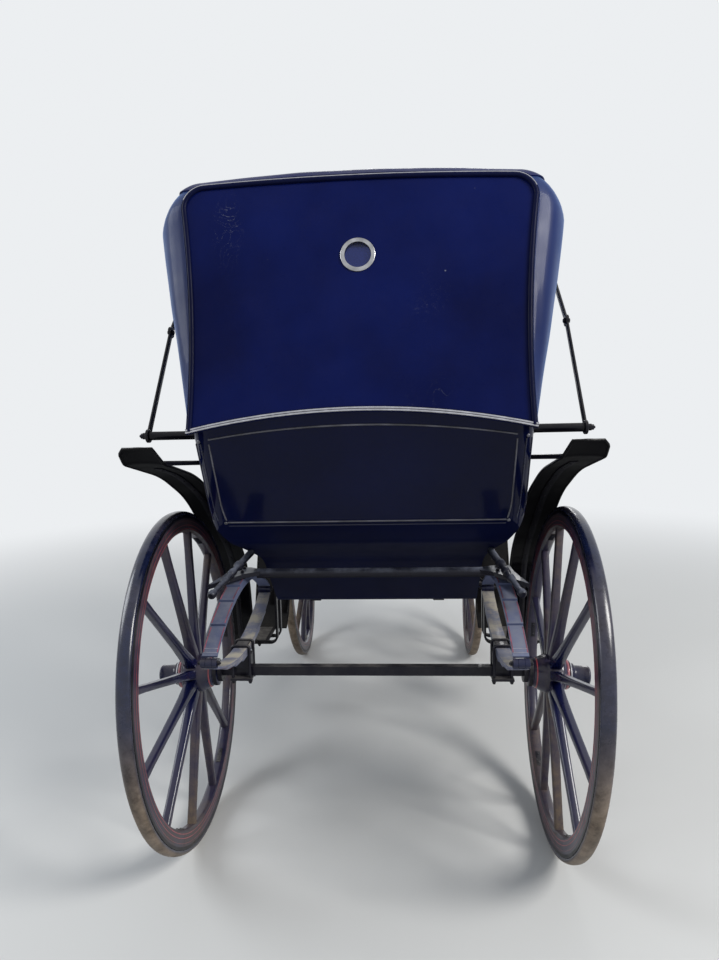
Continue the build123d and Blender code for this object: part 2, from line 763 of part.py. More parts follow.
def splinter_bar(z):
    """Cross-bar for the harness, with its trace bolts and the lugs of the shafts."""
    half_y, height = splinter[0] / 2, splinter[1]
    bar = block((-splinter_half, splinter_half), (splinter_y - half_y, splinter_y + half_y), (z, z + height))
    bar = fillet(bar.edges().filter_by(Axis.X), 12)
    top = z + height
    bolt = turned_between((trace_x, splinter_y, top), (trace_x, splinter_y, top + trace_height), [
        (0, trace_radius + 8), (0.08, trace_radius + 8), (0.08, trace_radius), (0.86, trace_radius),
        (0.86, trace_radius + 6), (0.97, trace_radius + 6), (1, trace_radius + 2)])
    hinge_z = z + height / 2
    for piece in both_sides(bolt):
        bar += piece
    for side in (-1, 1):
        near = shaft_hinge_x + side * lug_reach
        reach = sorted((near, near + side * lug_thickness))
        lug = block(reach, (splinter_y + half_y - 4, shaft_hinge_y + 14), (hinge_z - 16, hinge_z + 16))
        for piece in both_sides(lug):
            bar += piece
    out = lug_reach + lug_thickness + 4.5
    pin = rod((shaft_hinge_x - out, shaft_hinge_y, hinge_z), (shaft_hinge_x + out, shaft_hinge_y, hinge_z),
              shaft_bolt_radius)
    for piece in both_sides(pin):
        bar += piece
    return bar, hinge_z


def shaft(hinge_z):
    """Right-hand wooden shaft down to the ground and its hinge iron."""
    start = Vector(shaft_hinge_x, shaft_hinge_y, hinge_z)
    bend = Vector(shaft_hinge_x, *shaft_bend)
    run = (bend - start).normalized()
    first = start + run * 78
    path = FilletPolyline(first, bend, (shaft_tip_x, shaft_ground_y, shaft_radius),
                          (shaft_tip_x, shaft_tip_y, shaft_radius), radius=[900, 500])
    wood = sweep(Plane(path @ 0, z_dir=path % 0) * Circle(shaft_radius), path=path)
    iron = turned_between(start, first, [(0, 14), (0.5, 16), (1, 19)])
    iron += Pos(*start) * Rot(0, 90, 0) * Cylinder(shaft_eye, 36)
    iron -= Pos(*start) * Rot(0, 90, 0) * Cylinder(shaft_bolt_radius + bearing_gap, 60)
    share = (tie_bar_y - bend.Y) / (shaft_ground_y - bend.Y)
    tie_z = bend.Z + (shaft_radius - bend.Z) * share
    tie = rod((-shaft_hinge_x, tie_bar_y, tie_z), (shaft_hinge_x, tie_bar_y, tie_z), tie_bar_radius)
    for piece in both_sides(wood):
        tie -= piece
    return wood, iron, max(tie.solids(), key=lambda solid: solid.volume)


def save(name, shapes):
    """Writes one node at its place in the carriage's own frame."""
    shapes = shapes if isinstance(shapes, list) else [shapes]
    solids = [Pos(0, rear_axle_y, 0) * solid for shape in shapes for solid in shape.solids()]
    placed = solids[0] if len(solids) == 1 else Compound(children=solids)
    placed.label = name
    export_step(placed, f"parts/{name}.step")


os.makedirs("parts", exist_ok=True)

tub, inside = tub_solids()
tub_outside = tub_form(tub_outline(), 0)
save("body_tub", tub)
save("seat_box", bench(inside))
back_squab, arm_squabs = squabs(inside)
save("back_squab", back_squab)
save("arm_squabs", arm_squabs)
save("seat_cushion", cushion(cushion_half, (-10, seat_front + 30), (seat_z, seat_z + cushion_height), 24))

hood_shell, hood_form = hood()
save("hood_leather", hood_shell)
save("hood_bows", hood_frame())
save("window_ring", window_frame())
save("window_glass", at_window(Pos(0, 0, -hood_leather / 2) * Cylinder(window_radius, window_glass)))
save("prop_irons", both_sides(prop_iron()))
save("hood_joint_irons", both_sides(joint_iron(hood_form)))

step = block((step_inner, step_outer), (step_from, step_to), (step_z - step_sheet / 2, step_z + step_sheet / 2))
wing = rear_wing(step)
front_wing = strip(
    front_wing_path, front_wing_radii, wing_sheet, front_wing_inner, front_wing_outer) - step
hangers = [step_hanger(y) for y in step_iron_y]
for side, index in (("right", 0), ("left", 1)):
    save(f"rear_wing_{side}", both_sides(wing)[index])
    save(f"front_wing_{side}", both_sides(front_wing)[index])
    save(f"step_{side}", both_sides(step)[index])
save("step_irons", [piece for hanger in hangers for piece in both_sides(hanger)])

rear_base = pad_top(rear_wheel_radius, rear_pad_height)
front_base = pad_top(front_wheel_radius, front_pad_height)
save("rear_axle", axle(rear_wheel_radius, rear_half_track, rear_spring_x, rear_pad_height, 0))
save("rear_springs", both_sides(elliptic_spring(
    rear_spring_x, 0, rear_base, rear_leaf_reach, rear_lower_rise, rear_upper_rise)))
save("rear_spring_clips", both_sides(spring_clips(
    rear_spring_x, 0, rear_wheel_radius, rear_pad_height, len(rear_leaf_reach))))
bar, plate_top = cross_bar()
save("rear_cross_bar", bar)
save("main_irons", both_sides(main_irons()))
save("body_irons", both_sides(body_iron(tub_outside, plate_top)))

deck = strip(deck_path, [deck_radius], deck_board, -deck_half_width, deck_half_width)
boot, box_board, box_rail = box_seat()
save("deck_board", deck)
save("wing_stays", both_sides(wing_stay(wing, tub_outside)) + front_stays(front_wing, deck))
save("boot", boot)
save("box_seat_board", box_board)
save("box_seat_rail", box_rail)
save("lamp_sockets", both_sides(lamp_socket()))
cushion_z = boot_top + deck_board
save("box_cushion", cushion(box_board_half - 30, (box_from + 30, box_to - 6),
                            (cushion_z, cushion_z + box_cushion_height), 24))
save("dash", strip(dash_path, [300], 8, -dash_half_width, dash_half_width) - deck)

bed_z = spring_top(front_base, front_leaf_reach, front_lower_rise, front_upper_rise)
lower_z = bed_z + bed_height
upper_z = lower_z + plate_thickness + turn_gap
save("front_axle", axle(front_wheel_radius, front_half_track, front_spring_x, front_pad_height,
                        wheelbase))
save("front_springs", both_sides(elliptic_spring(
    front_spring_x, wheelbase, front_base, front_leaf_reach, front_lower_rise, front_upper_rise)))
save("front_spring_clips", both_sides(spring_clips(
    front_spring_x, wheelbase, front_wheel_radius, front_pad_height, len(front_leaf_reach))))
save("front_bed", front_bed(bed_z, lower_z, bed_half))
save("lower_turn_plate", turntable(lower_z, (0, 90)))
save("upper_turn_plate", turntable(upper_z, (0, 90)))
save("top_bed", front_bed(upper_z + plate_thickness, deck_z, deck_half_width - 40))
save("king_pin", king_pin(bed_z))
save("futchells", both_sides(block(
    (futchell_x - futchell[0] / 2, futchell_x + futchell[0] / 2),
    (futchell_from, futchell_to), (bed_z - futchell[1], bed_z))))
splinter_solid, hinge_z = splinter_bar(bed_z)
save("splinter_bar", splinter_solid)
wood, iron, tie_bar = shaft(hinge_z)
save("shaft_tie_bar", tie_bar)
for side, index in (("right", 0), ("left", 1)):
    save(f"shaft_{side}", both_sides(wood)[index])
save("shaft_irons", both_sides(iron))

for end, radius, half_track, y, count in (
        ("rear", rear_wheel_radius, rear_half_track, 0, rear_spokes),
        ("front", front_wheel_radius, front_half_track, wheelbase, front_spokes)):
    for kind, shape in (("tyre", tyre(radius)), ("wheel", wooden_wheel(radius, count)),
                        ("hub_cap", hub_cap())):
        placed = at_wheel(shape, radius, half_track, y)
        for side, index in (("right", 0), ("left", 1)):
            save(f"{end}_{kind}_{side}", both_sides(placed)[index])
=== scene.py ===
# %% [markdown]
# # A horse drawn carriage
#
# This notebook dresses a hooded passenger carriage whose solids come packed as a fixed frame.
# The frame gives each piece its true place, and each cell below adds a finish or a finer piece:
# patent leather, lacquered wood, springs made of leaves, turned hubs and buttoned cushions.

# %% Load the frame
import bmesh
import bpy
import json
import math
from mathutils import Matrix, Vector, noise
from mathutils.bvhtree import BVHTree


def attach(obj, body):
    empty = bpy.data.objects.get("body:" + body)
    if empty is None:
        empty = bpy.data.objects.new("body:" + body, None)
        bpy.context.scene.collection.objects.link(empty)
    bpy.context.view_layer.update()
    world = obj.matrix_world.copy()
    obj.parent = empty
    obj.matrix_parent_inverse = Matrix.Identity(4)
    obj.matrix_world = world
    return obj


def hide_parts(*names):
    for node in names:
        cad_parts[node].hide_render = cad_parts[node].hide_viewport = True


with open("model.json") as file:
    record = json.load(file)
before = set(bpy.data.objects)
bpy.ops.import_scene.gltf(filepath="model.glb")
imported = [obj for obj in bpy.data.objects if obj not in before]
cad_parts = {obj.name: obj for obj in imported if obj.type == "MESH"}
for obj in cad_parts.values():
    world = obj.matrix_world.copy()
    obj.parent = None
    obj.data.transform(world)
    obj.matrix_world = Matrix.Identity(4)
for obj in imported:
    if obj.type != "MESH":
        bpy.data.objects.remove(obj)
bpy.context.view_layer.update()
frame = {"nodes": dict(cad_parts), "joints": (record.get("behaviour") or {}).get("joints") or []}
nodes = frame["nodes"]
scene = bpy.context.scene

# %% [markdown]
# ## Camera
#
# The camera stands behind the carriage, a little to the right and at a person's chest height.
# Its place and turn were solved from the wheels' outlines and from points that mirror each
# other, so that the carriage's lines converge as they do in the photograph.

# %% The camera at the photograph's viewing angle
REAR_AXLE = -1.85
CAMERA_PLACE = Vector((0.12635, -4.09214, 1.45016))
YAW, PITCH, ROLL = -0.06692, 0.11169, -0.02335
FOCAL_PIXELS, IMAGE_HEIGHT, SENSOR = 700.01, 960, 36.0


def placed_frame(x, y, z, place):
    """Matrix of a frame from its three axes and its origin."""
    return Matrix.Translation(place) @ Matrix((x, y, z)).transposed().to_4x4()


def camera_matrix():
    """The camera's frame, with X to its right, Y up and Z back towards it."""
    forward = Vector((math.sin(YAW) * math.cos(PITCH), math.cos(YAW) * math.cos(PITCH), -math.sin(PITCH)))
    level = Vector((math.cos(YAW), -math.sin(YAW), 0))
    upright = level.cross(forward)
    right = level * math.cos(ROLL) + upright * math.sin(ROLL)
    up = upright * math.cos(ROLL) - level * math.sin(ROLL)
    return placed_frame(right, up, -forward, CAMERA_PLACE)


camera_data = bpy.data.cameras.new("camera")
camera_data.sensor_width = SENSOR
camera_data.lens = FOCAL_PIXELS / IMAGE_HEIGHT * SENSOR
camera = bpy.data.objects.new("camera", camera_data)
scene.collection.objects.link(camera)
camera.matrix_world = camera_matrix()
scene.camera = camera
print("lens:", round(camera_data.lens, 2), "mm")

# %% [markdown]
# ## Shader helpers
#
# A material is a small graph of nodes. A few helpers keep the graphs short to read: they add a
# node, fill or link its inputs, and work on numbers, vectors and colours.


# %% Helpers for shader graphs
def fill(tree, sockets, values):
    """Sets or links sockets, from values that are numbers, colours or other sockets."""
    for name, value in values.items():
        if isinstance(value, bpy.types.NodeSocket):
            tree.links.new(value, sockets[name])
        else:
            sockets[name].default_value = value


def add(tree, kind, inputs=None, **settings):
    """A node in a tree, with its settings and its inputs."""
    node = tree.nodes.new(kind)
    for name, value in settings.items():
        setattr(node, name, value)
    fill(tree, node.inputs, inputs or {})
    return node


def ramp(tree, value, low, dark, high, light):
    """A colour that runs from dark at a low value to light at a high one."""
    node = add(tree, "ShaderNodeValToRGB", {"Fac": value})
    for point, place, colour in zip(node.color_ramp.elements, (low, high), (dark, light)):
        point.position, point.color = place, (*colour, 1)
    return node.outputs["Color"]


def mix(tree, share, first, second):
    """A colour between two others."""
    first, second = (
        colour if isinstance(colour, bpy.types.NodeSocket) else (*colour, 1) for colour in (first, second))
    return add(tree, "ShaderNodeMix", {0: share, 6: first, 7: second}, data_type="RGBA").outputs[2]


def maths(tree, operation, first, second=0.5):
    """The result of a sum or comparison of two values."""
    return add(tree, "ShaderNodeMath", {0: first, 1: second}, operation=operation).outputs[0]


def times(tree, first, second):
    """The product of two values."""
    return maths(tree, "MULTIPLY", first, second)


def plus(tree, first, second):
    """The sum of two values."""
    return maths(tree, "ADD", first, second)


def vector(tree, operation, first, second=(0, 0, 0)):
    """The vector and the value that come of two vectors."""
    return add(tree, "ShaderNodeVectorMath", {0: first, 1: second}, operation=operation).outputs


def ranged(tree, value, low, high, start=0.0, end=1.0):
    """A value taken from one range to another, and kept inside it."""
    return add(tree, "ShaderNodeMapRange", {
        "Value": value, "From Min": low, "From Max": high, "To Min": start, "To Max": end}).outputs[0]


def clouds(tree, place, scale, detail, roughness=0.5):
    """The value of a cloudy noise."""
    return add(tree, "ShaderNodeTexNoise", {
        "Vector": place, "Scale": scale, "Detail": detail, "Roughness": roughness}).outputs["Fac"]


def upright_part(tree, value):
    """The Z of a place or a direction."""
    return add(tree, "ShaderNodeSeparateXYZ", {0: value}).outputs["Z"]


def facing_up(tree):
    """How far the surface faces up, from -1 to 1."""
    return upright_part(tree, add(tree, "ShaderNodeNewGeometry").outputs["Normal"])


def bent_normal(tree, height, strength, distance):
    """A normal that is bent by a height."""
    return add(tree, "ShaderNodeBump", {
        "Height": height, "Strength": strength, "Distance": distance}).outputs[0]


# %% [markdown]
# An effect that several finishes share is a node group with one output, so it is made once and
# used with other values. A new material starts with its Principled shader and the Object
# coordinates, which stay with a piece when it moves.


# %% Groups and materials
def group(name, inputs, output):
    """An empty shader node group with named sockets, and its inner ends."""
    tree = bpy.data.node_groups.new(name, "ShaderNodeTree")
    for label, value in inputs.items():
        kind = "NodeSocketVector" if isinstance(value, tuple) else "NodeSocketFloat"
        tree.interface.new_socket(label, in_out="INPUT", socket_type=kind).default_value = value
    tree.interface.new_socket(output, in_out="OUTPUT", socket_type="NodeSocketFloat")
    return tree, tree.nodes.new("NodeGroupInput").outputs, tree.nodes.new("NodeGroupOutput").inputs[output]


def use(tree, name, inputs):
    """The one output of a group placed in a material."""
    return add(tree, "ShaderNodeGroup", inputs, node_tree=bpy.data.node_groups[name]).outputs[0]


def material(name):
    """A new material, its tree, its Principled shader and Object coordinates."""
    made = bpy.data.materials.new(name)
    made.use_nodes = True
    tree = made.node_tree
    place = add(tree, "ShaderNodeTexCoord").outputs["Object"]
    return made, tree, tree.nodes["Principled BSDF"].inputs, place


# %% [markdown]
# ## Shared effects
#
# Road dust settles on what faces up and on what is near the ground, and it is patchy. Grain is
# the fine pebble of leather, made of cells for the pebbles and a slower noise for the folds.

# %% Dust and grain
tree, given, result = group("road_dust", {"Place": (0, 0, 0), "Amount": 0.5, "Ground height": 0.5}, "Mask")
lying = ranged(tree, facing_up(tree), 0.1, 0.95)
low_down = ranged(tree, upright_part(tree, given["Place"]), given["Ground height"], 0.0)
patchy = ranged(tree, clouds(tree, given["Place"], 9.0, 8.0, 0.7), 0.42, 0.62)
settled = plus(tree, times(tree, lying, 0.75), times(tree, low_down, 0.55))
settled = times(tree, settled, plus(tree, times(tree, patchy, 0.85), 0.15))
tree.links.new(times(tree, settled, given["Amount"]), result)

tree, given, result = group("leather_grain", {"Place": (0, 0, 0), "Pebble size": 0.002}, "Height")
per_metre = maths(tree, "DIVIDE", 1.0, given["Pebble size"])
pebbles = add(tree, "ShaderNodeTexVoronoi", {"Vector": given["Place"], "Scale": per_metre},
              feature="SMOOTH_F1").outputs["Distance"]
folds = clouds(tree, given["Place"], times(tree, per_metre, 0.05), 6.0)
tree.links.new(plus(tree, times(tree, pebbles, 0.5), folds), result)

# %% [markdown]
# Scratches are short bright hairs. A painted picture could hold them, but a noise needs none
# and stays sharp from close by: it is stretched and cut to its thinnest crest. They show only
# in a few patches and at one rubbed spot near the hood's upper left corner.

# %% Scratches and specks
RUBBED_SPOT, RUBBED_SHAPE = (-0.376, -2.036, 1.943), (19.0, 4.0, 7.5)
HAIR_SHAPE = (26.0, 26.0, 4.0)
tree, given, result = group("hair_scratches", {"Place": (0, 0, 0), "Amount": 0.5}, "Mask")
bend = add(tree, "ShaderNodeTexNoise", {"Vector": given["Place"], "Scale": 3.0, "Detail": 2.0})
bent = vector(tree, "ADD", given["Place"], bend.outputs["Color"])[0]
stretched = add(tree, "ShaderNodeMapping", {"Vector": bent, "Scale": HAIR_SHAPE}).outputs[0]
crest = maths(tree, "ABSOLUTE", maths(tree, "SUBTRACT", clouds(tree, stretched, 1.6, 3.0), 0.5))
crest = ranged(tree, crest, 0.003, 0.0)
patches = ranged(tree, clouds(tree, given["Place"], 2.4, 3.0), 0.62, 0.8)
rubbed = vector(tree, "SUBTRACT", given["Place"], RUBBED_SPOT)[0]
rubbed = vector(tree, "LENGTH", vector(tree, "MULTIPLY", rubbed, RUBBED_SHAPE)[0])["Value"]
patches = maths(tree, "MAXIMUM", patches, ranged(tree, rubbed, 1.0, 0.3))
specks = add(tree, "ShaderNodeTexVoronoi", {"Vector": given["Place"], "Scale": 11.0}).outputs["Distance"]
specks = times(tree, ranged(tree, specks, 0.03, 0.02), 0.7)
marks = maths(tree, "MAXIMUM", times(tree, crest, patches), specks)
tree.links.new(times(tree, marks, given["Amount"]), result)
print("shared effects:", [effect.name for effect in bpy.data.node_groups])

# %% [markdown]
# ## Coach paint, patent leather and iron
#
# Coach paint is many coats of navy colour under a clear varnish, so it is a dark base with a
# full clear coat over it. Patent leather has the same varnish on a pebbled hide. The ironwork
# is black enamel, duller and dustier. One function makes all of them from a few values. The
# hood's leather is a more saturated blue than plain navy, partly a painted reflection of a blue
# sky. Its sides also have a sheen at grazing angles, as a thin film of dust gives, and a little
# dust on their upward faces. The sides' blue base, the dust's blue colour and the sheen's blue
# tint are partly a painted reflection of a blue sky.

# %% Painted and leather finishes
DUST, HAIR = (0.20, 0.165, 0.12), (0.5, 0.52, 0.56)
finishes = {}


def varnished(name, colour, deep, rough, coat, dust, ground=0.7, grain=0.0, scratches=0.0,
              specular=0.25, dust_and_sky_tint=DUST):
    """A dark base under varnish, with dust, grain and scratches as asked."""
    made, tree, shader, place = material(name)
    base = ramp(tree, clouds(tree, place, 2.6, 6.0), 0.3, deep, 0.7, colour)
    mask = use(tree, "road_dust", {"Place": place, "Amount": dust, "Ground height": ground})
    base = mix(tree, mask, base, dust_and_sky_tint)
    if scratches:
        base = mix(tree, use(tree, "hair_scratches", {"Place": place, "Amount": scratches}), base, HAIR)
    smear = ranged(tree, clouds(tree, place, 14.0, 6.0), 0.3, 0.7, rough * 0.8, rough * 1.3)
    beneath = ranged(tree, facing_up(tree), -0.45, -0.8)
    dull = plus(tree, times(tree, mask, 0.5), times(tree, beneath, 0.5))
    clear = maths(tree, "SUBTRACT", 1.0, maths(tree, "MAXIMUM", mask, beneath))
    height = use(tree, "leather_grain", {"Place": place, "Pebble size": grain}) if grain else smear
    fill(tree, shader, {
        "Base Color": base, "Roughness": plus(tree, smear, dull), "Specular IOR Level": specular,
        "Coat Weight": times(tree, clear, coat), "Coat Roughness": 0.09, "Coat IOR": 1.38,
        "Normal": bent_normal(tree, height, 0.35 if grain else 0.04, 0.0006)})
    finishes[name] = made
    return made


navy_paint = varnished(
    "navy_paint", (0.006, 0.009, 0.042), (0.003, 0.005, 0.024), 0.22, 0.6, 0.35, specular=0.2)
panel_paint = varnished(
    "panel_paint", (0.0025, 0.005, 0.034), (0.0012, 0.0025, 0.018), 0.10, 0.34, 0.12, 0.3, specular=0.03)
wheel_paint = varnished("wheel_paint", (0.010, 0.014, 0.055), (0.005, 0.007, 0.028), 0.3, 0.5, 0.6, 1.1)
# The hood's navy is more saturated than plain navy leather: partly a painted reflection of a blue sky.
hood_patent = varnished(
    "hood_patent", (0.0030, 0.0082, 0.080), (0.0006, 0.0028, 0.038), 0.30, 0.08, 0.05, 0.1,
    grain=0.0022, scratches=0.34, specular=0.05)
# The sides' blue base and the blue of their dust on upward faces are partly a painted reflection of a blue
# sky, over a little real dust.
side_patent = varnished(
    "side_patent", (0.010, 0.021, 0.100), (0.005, 0.011, 0.062), 0.36, 0.10, 0.35, 0.1,
    grain=0.0022, scratches=0.25, specular=0.09, dust_and_sky_tint=(0.10, 0.16, 0.30))
# The sheen brightens the sides at grazing angles, as dust does; its blue tint is a painted reflection of a
# blue sky.
fill(side_patent.node_tree, side_patent.node_tree.nodes["Principled BSDF"].inputs, {
    "Sheen Weight": 0.75, "Sheen Roughness": 0.35, "Sheen Tint": (0.24, 0.46, 1.0, 1)})
wing_patent = varnished(
    "wing_patent", (0.0022, 0.0022, 0.0034), (0.0012, 0.0012, 0.0022), 0.2, 0.22, 0.12, 0.5, specular=0.05)
black_enamel = varnished(
    "black_enamel", (0.004, 0.004, 0.008), (0.002, 0.002, 0.005), 0.32, 0.25, 0.4, 0.8,
    specular=0.12, dust_and_sky_tint=(0.13, 0.12, 0.11))
dusty_iron = varnished(
    "dusty_iron", (0.006, 0.006, 0.013), (0.003, 0.003, 0.008), 0.34, 0.3, 0.75,
    specular=0.12, dust_and_sky_tint=(0.165, 0.155, 0.148))
plate_iron = varnished(
    "plate_iron", (0.006, 0.006, 0.014), (0.003, 0.003, 0.008), 0.30, 0.35, 0.8, 0.6,
    specular=0.12, dust_and_sky_tint=(0.24, 0.26, 0.33))
seat_hide = varnished(
    "seat_hide", (0.016, 0.022, 0.055), (0.008, 0.012, 0.032), 0.42, 0.15, 0.1, 0.1,
    grain=0.003, specular=0.4)
piping_hide = varnished(
    "piping_hide", (0.003, 0.005, 0.032), (0.0015, 0.0025, 0.018), 0.45, 0.04, 0.04, 0.1,
    specular=0.05, dust_and_sky_tint=(0.08, 0.09, 0.16))
print("painted and leather finishes:", len(finishes))

# %% [markdown]
# The plainer finishes vary a little in colour and gloss. They are the red and pale painted
# lines, the bright beads, the iron of the shafts' bands, the bows' wood and the wool inside the
# hood. The window is an old pane that lets a third of the light through; its dark navy colour
# is a painted reflection.


# %% Paint lines, metals, glass, wood and cloth
def simple(name, colour, rough, metal=0.0, vary=0.2, coat=0.0, scale=30.0, pits=0.0):
    """A finish whose colour and roughness vary a little over the surface."""
    made, tree, shader, place = material(name)
    fleck = clouds(tree, place, scale, 7.0)
    dark = tuple(value * (1 - vary) for value in colour)
    light = tuple(min(1.0, value * (1 + vary)) for value in colour)
    fill(tree, shader, {
        "Base Color": ramp(tree, fleck, 0.35, dark, 0.65, light), "Metallic": metal, "Coat Weight": coat,
        "Roughness": ranged(tree, fleck, 0.0, 1.0, rough * 0.75, rough * 1.25)})
    if pits:
        fill(tree, shader, {"Normal": bent_normal(tree, fleck, 0.5, pits)})
    finishes[name] = made
    return made


red_line = simple("red_line", (0.27, 0.035, 0.045), 0.4, vary=0.4, coat=0.3)
spring_line = simple("spring_line", (0.26, 0.06, 0.085), 0.4, vary=0.45, coat=0.3)
pale_line = simple("pale_line", (0.34, 0.34, 0.40), 0.45, vary=0.3)
pink_band = simple("pink_band", (0.34, 0.11, 0.13), 0.4, vary=0.3, coat=0.3)
bead_metal = simple("bead_metal", (0.43, 0.43, 0.46), 0.34, metal=0.9, vary=0.12, scale=60.0)
# Navy beads shown in a lighter grey: a painted highlight along them.
dull_bead = simple("dull_bead", (0.070, 0.070, 0.085), 0.4, metal=0.3, vary=0.5, coat=0.3, scale=18.0)
nickel = simple("nickel", (0.38, 0.38, 0.39), 0.26, metal=1.0, scale=40.0)
worn_steel = simple("worn_steel", (0.26, 0.24, 0.22), 0.4, metal=0.8, vary=0.3, scale=40.0)
bow_wood = simple("bow_wood", (0.13, 0.08, 0.045), 0.5, vary=0.35, scale=22.0, pits=0.0003)
wool_lining = simple("wool_lining", (0.035, 0.04, 0.075), 0.9, vary=0.25, scale=420.0, pits=0.0006)
floor_mat = simple("floor_mat", (0.02, 0.02, 0.022), 0.85, vary=0.3, scale=160.0, pits=0.0008)
# The pane's dark navy colour is a painted reflection.
window_pane, tree, shader, place = material("window_pane")
fill(tree, shader, {"Base Color": (0.010, 0.016, 0.075, 1), "Transmission Weight": 0.35, "Roughness": 0.06,
                    "Specular IOR Level": 0.2})
finishes["window_pane"] = window_pane
print("all finishes:", len(finishes))

# %% [markdown]
# ## Mesh helpers
#
# Every finished piece is a mesh whose object stays at the origin. A few helpers cover most
# shapes: a grid of points, a profile turned about an axle, and a section carried along a line.


# %% Pieces that are finished, welded and ride on a body
def piece(name, points, faces, finish, body, slot, crease=35, weld=0.0):
    """A mesh piece with its finish, shaded smooth up to an angle, riding on a body."""
    mesh = bpy.data.meshes.new(name)
    mesh.from_pydata([tuple(point) for point in points], [], faces)
    made = bpy.data.objects.new(name, mesh)
    scene.collection.objects.link(made)
    mesh.materials.append(finish)
    tidy(made, crease, weld)
    if body:
        settle(made, body)
    return made


def tidy(made, crease=35, weld=0.0):
    """Welds doubles, turns faces outwards and marks the sharp edges."""
    mesh = bmesh.new()
    mesh.from_mesh(made.data)
    if weld:
        bmesh.ops.remove_doubles(mesh, verts=mesh.verts, dist=weld)
        bmesh.ops.recalc_face_normals(mesh, faces=mesh.faces)
    for face in mesh.faces:
        face.smooth = True
    for edge in mesh.edges:
        edge.smooth = len(edge.link_faces) == 2 and edge.calc_face_angle(0) < math.radians(crease)
    mesh.to_mesh(made.data)
    mesh.free()


def settle(made, body):
    """The piece rides on its body."""
    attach(made, body)


def baked(made):
    """The object's modifiers turned into plain mesh."""
    graph = bpy.context.evaluated_depsgraph_get()
    graph.update()
    mesh = bpy.data.meshes.new_from_object(made.evaluated_get(graph), depsgraph=graph)
    kept, name = list(made.data.materials), made.name
    if made.type == "MESH":
        made.modifiers.clear()
        made.data = mesh
    else:
        old = made
        made = bpy.data.objects.new(name, mesh)
        scene.collection.objects.link(made)
        bpy.data.objects.remove(old)
        made.name = name
    if not made.data.materials:
        for one in kept:
            made.data.materials.append(one)
    return made


# %% [markdown]
# A shape is first only points and faces, which can be joined, mirrored or moved before they
# become a mesh. Places are in millimetres from the rear axle, as on a workshop drawing.


# %% Shapes as points and faces
def mm(x, y, z):
    """Millimetres measured from the rear axle, as a point of the frame."""
    return Vector((x / 1000, y / 1000 + REAR_AXLE, z / 1000))


def turns(count):
    """Equal turns round a circle."""
    return [2 * math.pi * index / count for index in range(count)]


def grid(rows, closed=False, flip=False):
    """Points and faces of a grid, given as rows of points; closed joins each row's ends."""
    width = len(rows[0])
    faces = []
    for row in range(len(rows) - 1):
        for column in range(width if closed else width - 1):
            after = (column + 1) % width
            here, above = row * width, (row + 1) * width
            face = [here + column, here + after, above + after, above + column]
            faces.append(face[::-1] if flip else face)
    return [point for row in rows for point in row], faces


def tube(rows, flip=False):
    """Points and faces of closed rings, with a face over each end."""
    points, faces = grid(rows, closed=True, flip=flip)
    size = len(rows[0])
    ends = [list(range(size))[::-1], list(range(len(points) - size, len(points)))]
    return points, faces + [end[::-1] if flip else end for end in ends]


def about(matrix, along, radius, turn):
    """A point at a turn and a distance round a frame's X."""
    return matrix @ Vector((along, radius * math.sin(turn), radius * math.cos(turn)))


def turned(profile, segments, matrix):
    """Points and faces of a closed loop of (along, radius) points turned about a frame's X."""
    return grid([[about(matrix, along, radius, turn) for turn in turns(segments)]
                 for along, radius in profile + profile[:1]], closed=True)


def merged(shapes):
    """Several (points, faces) shapes as one."""
    points, faces = [], []
    for some_points, some_faces in shapes:
        start = len(points)
        points += list(some_points)
        faces += [[index + start for index in face] for face in some_faces]
    return points, faces


def flipped(points):
    """Points mirrored across the carriage."""
    return [Vector((-point.x, point.y, point.z)) for point in points]


def mirrored(shape):
    """A (points, faces) shape and its mirror image across the carriage."""
    points, faces = shape
    return merged([shape, (flipped(points), [face[::-1] for face in faces])])


# %% [markdown]
# Bars, bands and leaves are a section carried along a path. A curve object with a bevel could
# do it too, but its section twists, and here it keeps its upright side. The path's corners are
# rounded, as forged iron bends.


# %% Paths and sections
def carried(path, section, up=Vector((0, 0, 1))):
    """A closed section of (across, upward) points carried along a path of points."""
    rows = []
    for index, point in enumerate(path):
        along = (path[min(index + 1, len(path) - 1)] - path[max(index - 1, 0)]).normalized()
        across = along.cross(up).normalized()
        upright = across.cross(along)
        rows.append([point + across * a + upright * b for a, b in section])
    return tube(rows, flip=True)


def rounded(half_width, half_height, edge, steps=2):
    """A rectangular section with rounded corners."""
    points = []
    for corner, (side, level) in enumerate(((1, 1), (-1, 1), (-1, -1), (1, -1))):
        for step in range(steps + 1):
            turn = math.pi / 2 * (corner + step / steps)
            points.append((side * (half_width - edge) + edge * math.cos(turn),
                           level * (half_height - edge) + edge * math.sin(turn)))
    return points


def filleted(points, radii, steps=8):
    """A flat path with its corners rounded, as a list of 2-D points."""
    path = [Vector(points[0])]
    for index in range(1, len(points) - 1):
        corner = Vector(points[index])
        back = (Vector(points[index - 1]) - corner).normalized()
        ahead = (Vector(points[index + 1]) - corner).normalized()
        half = back.angle(ahead) / 2
        radius = radii[index - 1]
        reach = radius / math.tan(half)
        centre = corner + (back + ahead).normalized() * (radius / math.sin(half))
        start, end = corner + back * reach - centre, corner + ahead * reach - centre
        spread = start.angle(end)
        for step in range(steps + 1):
            share = step / steps
            arm = start * math.sin((1 - share) * spread) + end * math.sin(share * spread)
            path.append(centre + arm / math.sin(spread))
    path.append(Vector(points[-1]))
    return path


def spaced(path, spacing):
    """A path with points added so that none are further apart than the spacing."""
    result = [path[0]]
    for a, b in zip(path, path[1:]):
        parts = max(1, math.ceil((b - a).length / spacing))
        result += [a.lerp(b, part / parts) for part in range(1, parts + 1)]
    return result


# %% [markdown]
# ## Geometry Nodes for what repeats
#
# Three small trees make what repeats or follows a line. The first carries a round bar along a
# curve, for piping and beads. The second sets a fastener on each point of a mesh and turns it
# to that point's stored direction. The third repeats a spoke round a hub. Each ends in Realize
# Instances and Set Material.


